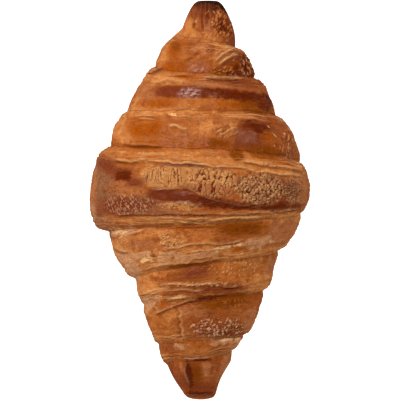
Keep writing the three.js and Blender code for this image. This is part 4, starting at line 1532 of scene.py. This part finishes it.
def add_piece(name, points, triangles, values, material):
    """Makes a smooth mesh object from arrays in millimetres, with its values as attributes."""
    mesh = bpy.data.meshes.new(name)
    mesh.vertices.add(len(points))
    mesh.vertices.foreach_set("co", (np.asarray(points) * MM).ravel())
    mesh.loops.add(triangles.size)
    mesh.loops.foreach_set("vertex_index", triangles.ravel().astype(np.int32))
    mesh.polygons.add(len(triangles))
    mesh.polygons.foreach_set("loop_start", np.arange(0, triangles.size, 3, dtype=np.int32))
    mesh.polygons.foreach_set("use_smooth", np.ones(len(triangles), dtype=bool))
    mesh.update(calc_edges=True)
    if mesh.validate():
        raise RuntimeError(f"{name} has faces that a mesh can't hold")
    for key, value in values.items():
        kind, field = ATTRIBUTE_KINDS[1 if np.ndim(value) == 1 else value.shape[1]]
        layer = mesh.attributes.new(key, kind, "POINT")
        layer.data.foreach_set(field, np.ravel(value).astype(np.float32))
    mesh.materials.append(material)
    piece = bpy.data.objects.new(name, mesh)
    bpy.context.scene.collection.objects.link(piece)
    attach(piece, BODY)
    return piece


def thin_out(piece, limit):
    """Merges a piece's triangles where its skin is smoothest, down to a number of them."""
    thinner = piece.modifiers.new("thinner", "DECIMATE")
    thinner.ratio = limit / len(piece.data.polygons)
    bpy.context.view_layer.objects.active = piece
    bpy.ops.object.modifier_apply(modifier=thinner.name)


def linear(red, green, blue):
    """A colour given as 8-bit screen values, as the shader reads it."""
    shares = np.array((red, green, blue)) / SCREEN_WHITE
    curve = ((shares + SCREEN_OFFSET) / (1 + SCREEN_OFFSET)) ** SCREEN_POWER
    return tuple(np.where(shares <= SCREEN_TOE, shares / SCREEN_TOE_SLOPE, curve))


def tone(name, description, *screen):
    """A colour setting, its default given as 8-bit screen values."""
    return bpy.props.FloatVectorProperty(
        name=name, description=description, default=linear(*screen), subtype="COLOR", min=0, max=1)


class CroissantDough(bpy.types.PropertyGroup):
    """Sizes of the rolled dough."""

    columns: bpy.props.IntProperty(name="Columns", description="Mesh columns round one turn", default=180)
    triangles: bpy.props.IntProperty(
        name="Triangles", description="Number that the crust is thinned out to", default=190000)
    edge_wave: bpy.props.FloatProperty(
        name="Edge wave", description="How far a free edge wanders", default=0.0006, unit="LENGTH")
    wrinkle: bpy.props.FloatProperty(
        name="Wrinkle", description="Height of the skin's fine wrinkles", default=0.00022, unit="LENGTH")
    lump: bpy.props.FloatProperty(
        name="Lump", description="Height of the skin's lumps", default=0.0007, unit="LENGTH")


class CroissantTones(bpy.types.PropertyGroup):
    """Tones of the baked crust."""

    cream: tone("Cream", "Torn edges of the layers", 224, 166, 108)
    pale: tone("Pale", "Dough near a free edge", 189, 115, 55)
    tan: tone("Tan", "Crackled glaze", 181, 117, 59)
    honey: tone("Honey", "Lightly baked skin", 171, 95, 37)
    # Also painted rim light where its narrow patches run along the outline
    rose: tone("Rose", "Smooth skin with a pink cast", 167, 97, 51)
    amber: tone("Amber", "Thin skin over butter", 151, 69, 0)
    window: tone("Window", "Thin dark skin over butter", 124, 57, 0)
    brown: tone("Brown", "Well baked skin", 147, 73, 27)
    glaze: tone("Glaze", "Dark shiny egg wash", 113, 44, 13)
    dark: tone("Dark", "Deeply baked skin and creases", 95, 30, 0)
    char: tone("Char", "Scorched skin beside the burnt tip", 66, 22, 4)
    burnt: tone("Burnt", "The burnt tip", 30, 11, 5)
    plum: tone("Plum", "Soft dark browning", 117, 49, 19)
    # Dark browning with a painted reflection: its grey-purple cast stands in for the sky reflected in the
    # glossy egg wash
    bruise: tone("Bruise", "Dark browning under a grey film of egg wash", 125, 66, 42)
    dull: tone("Dull", "Dry flanks", 136, 84, 50)
    # Also painted rim light and highlights where its narrow patches run along the outline
    grey: tone("Grey", "Dry layers without egg wash", 187, 127, 82)
    # Pale specks of dried egg wash, partly painted glints where the rough glaze would catch the light
    blush: tone("Blush", "Dried specks of egg wash", 220, 166, 126)
    # Painted highlight: a pale tint laid where the egg wash would catch the light
    sheen: tone("Sheen", "Dried film of egg wash that catches the light", 212, 172, 158)


class CroissantStage(bpy.types.PropertyGroup):
    """The camera, the lights and the floor."""

    lens: bpy.props.FloatProperty(name="Lens", description="Focal length in millimetres", default=600)
    outline_height: bpy.props.FloatProperty(
        name="Outline height", description="Height of the widest outline", default=0.02, unit="LENGTH")
    key_place: bpy.props.FloatVectorProperty(
        name="Key place", description="Where the main light is", default=(-0.36, 0.5, 1.05),
        subtype="TRANSLATION")
    key_size: bpy.props.FloatProperty(
        name="Key size", description="Side of the main light", default=0.5, unit="LENGTH")
    key_power: bpy.props.FloatProperty(
        name="Key power", description="Power of the main light", default=12, unit="POWER")
    sky: bpy.props.FloatProperty(name="Sky", description="Strength of the even light all round", default=0.52)
    floor_side: bpy.props.FloatProperty(
        name="Floor side", description="Side of the floor", default=6, unit="LENGTH")


class CROISSANT_OT_crust(bpy.types.Operator):
    """Rolls the dough's crust over the croissant's solid"""

    bl_idname = "croissant.crust"
    bl_label = "Crust"

    def execute(self, context):
        tones = context.scene.croissant_tones
        dough, overlay = raise_details(detailed(roll_dough(context.scene.croissant_dough)), tones)
        finish = crust_finish(dough, overlay, tones)
        piece = add_piece("crust", dough.points, dough.triangles, finish, baked_crust(tones))
        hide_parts(NODE)
        thin_out(piece, context.scene.croissant_dough.triangles)
        return {"FINISHED"}


def add_camera(scene, lens, height):
    """A camera straight above, as far off as it takes to see the whole length."""
    data = bpy.data.cameras.new("camera")
    data.lens = lens
    camera = bpy.data.objects.new("camera", data)
    camera.location = (0, 0, height + LENGTH * MM * lens / data.sensor_width)
    scene.collection.objects.link(camera)
    scene.camera = camera


def add_sky(scene, strength):
    """Even white light from all round."""
    world = bpy.data.worlds.new("studio")
    world.use_nodes = True
    background = world.node_tree.nodes["Background"]
    background.inputs["Strength"].default_value = strength
    background.inputs["Color"].default_value = (1, 1, 1, 1)
    world.cycles_visibility.glossy = False
    scene.world = world


def add_key_light(scene, place, size, power):
    """A soft square light that looks at the croissant."""
    data = bpy.data.lights.new("key", "AREA")
    data.energy = power
    data.size = size
    light = bpy.data.objects.new("key", data)
    light.location = place
    light.rotation_euler = (-Vector(place)).to_track_quat("-Z", "Y").to_euler()
    light.visible_camera = False
    scene.collection.objects.link(light)


class CROISSANT_OT_stage(bpy.types.Operator):
    """Sets the floor, the soft light and the camera"""

    bl_idname = "croissant.stage"
    bl_label = "Stage"

    def execute(self, context):
        scene = context.scene
        setting = scene.croissant_stage
        scene.view_settings.view_transform = "Standard"
        add_camera(scene, setting.lens, setting.outline_height)
        add_sky(scene, setting.sky)
        add_key_light(scene, setting.key_place, setting.key_size, setting.key_power)
        bpy.ops.mesh.primitive_plane_add(size=setting.floor_side)
        floor = context.object
        floor.name = "floor"
        floor.visible_glossy = False
        floor.data.materials.append(pale_floor())
        return {"FINISHED"}


class CROISSANT_PT_panel(bpy.types.Panel):
    """Lists the croissant's crust and its stage"""

    bl_label = "Croissant"
    bl_idname = "CROISSANT_PT_panel"
    bl_space_type = "VIEW_3D"
    bl_region_type = "UI"
    bl_category = "Croissant"

    def draw(self, context):
        for operator in OPERATORS:
            self.layout.operator(operator.bl_idname)


OPERATORS = (CROISSANT_OT_crust, CROISSANT_OT_stage)
SETTINGS = {
    "croissant_dough": CroissantDough,
    "croissant_tones": CroissantTones,
    "croissant_stage": CroissantStage,
}
CLASSES = (*SETTINGS.values(), *OPERATORS, CROISSANT_PT_panel)


def register():
    """Makes the classes and the scene's settings known."""
    for cls in CLASSES:
        bpy.utils.register_class(cls)
    for name, group in SETTINGS.items():
        setattr(bpy.types.Scene, name, bpy.props.PointerProperty(type=group))


def unregister():
    """Takes the settings and the classes away again."""
    for name in SETTINGS:
        delattr(bpy.types.Scene, name)
    for cls in reversed(CLASSES):
        bpy.utils.unregister_class(cls)


def main():
    """Makes every piece, then the stage."""
    register()
    bpy.ops.croissant.crust()
    bpy.ops.croissant.stage()


if __name__ == "__main__":
    main()
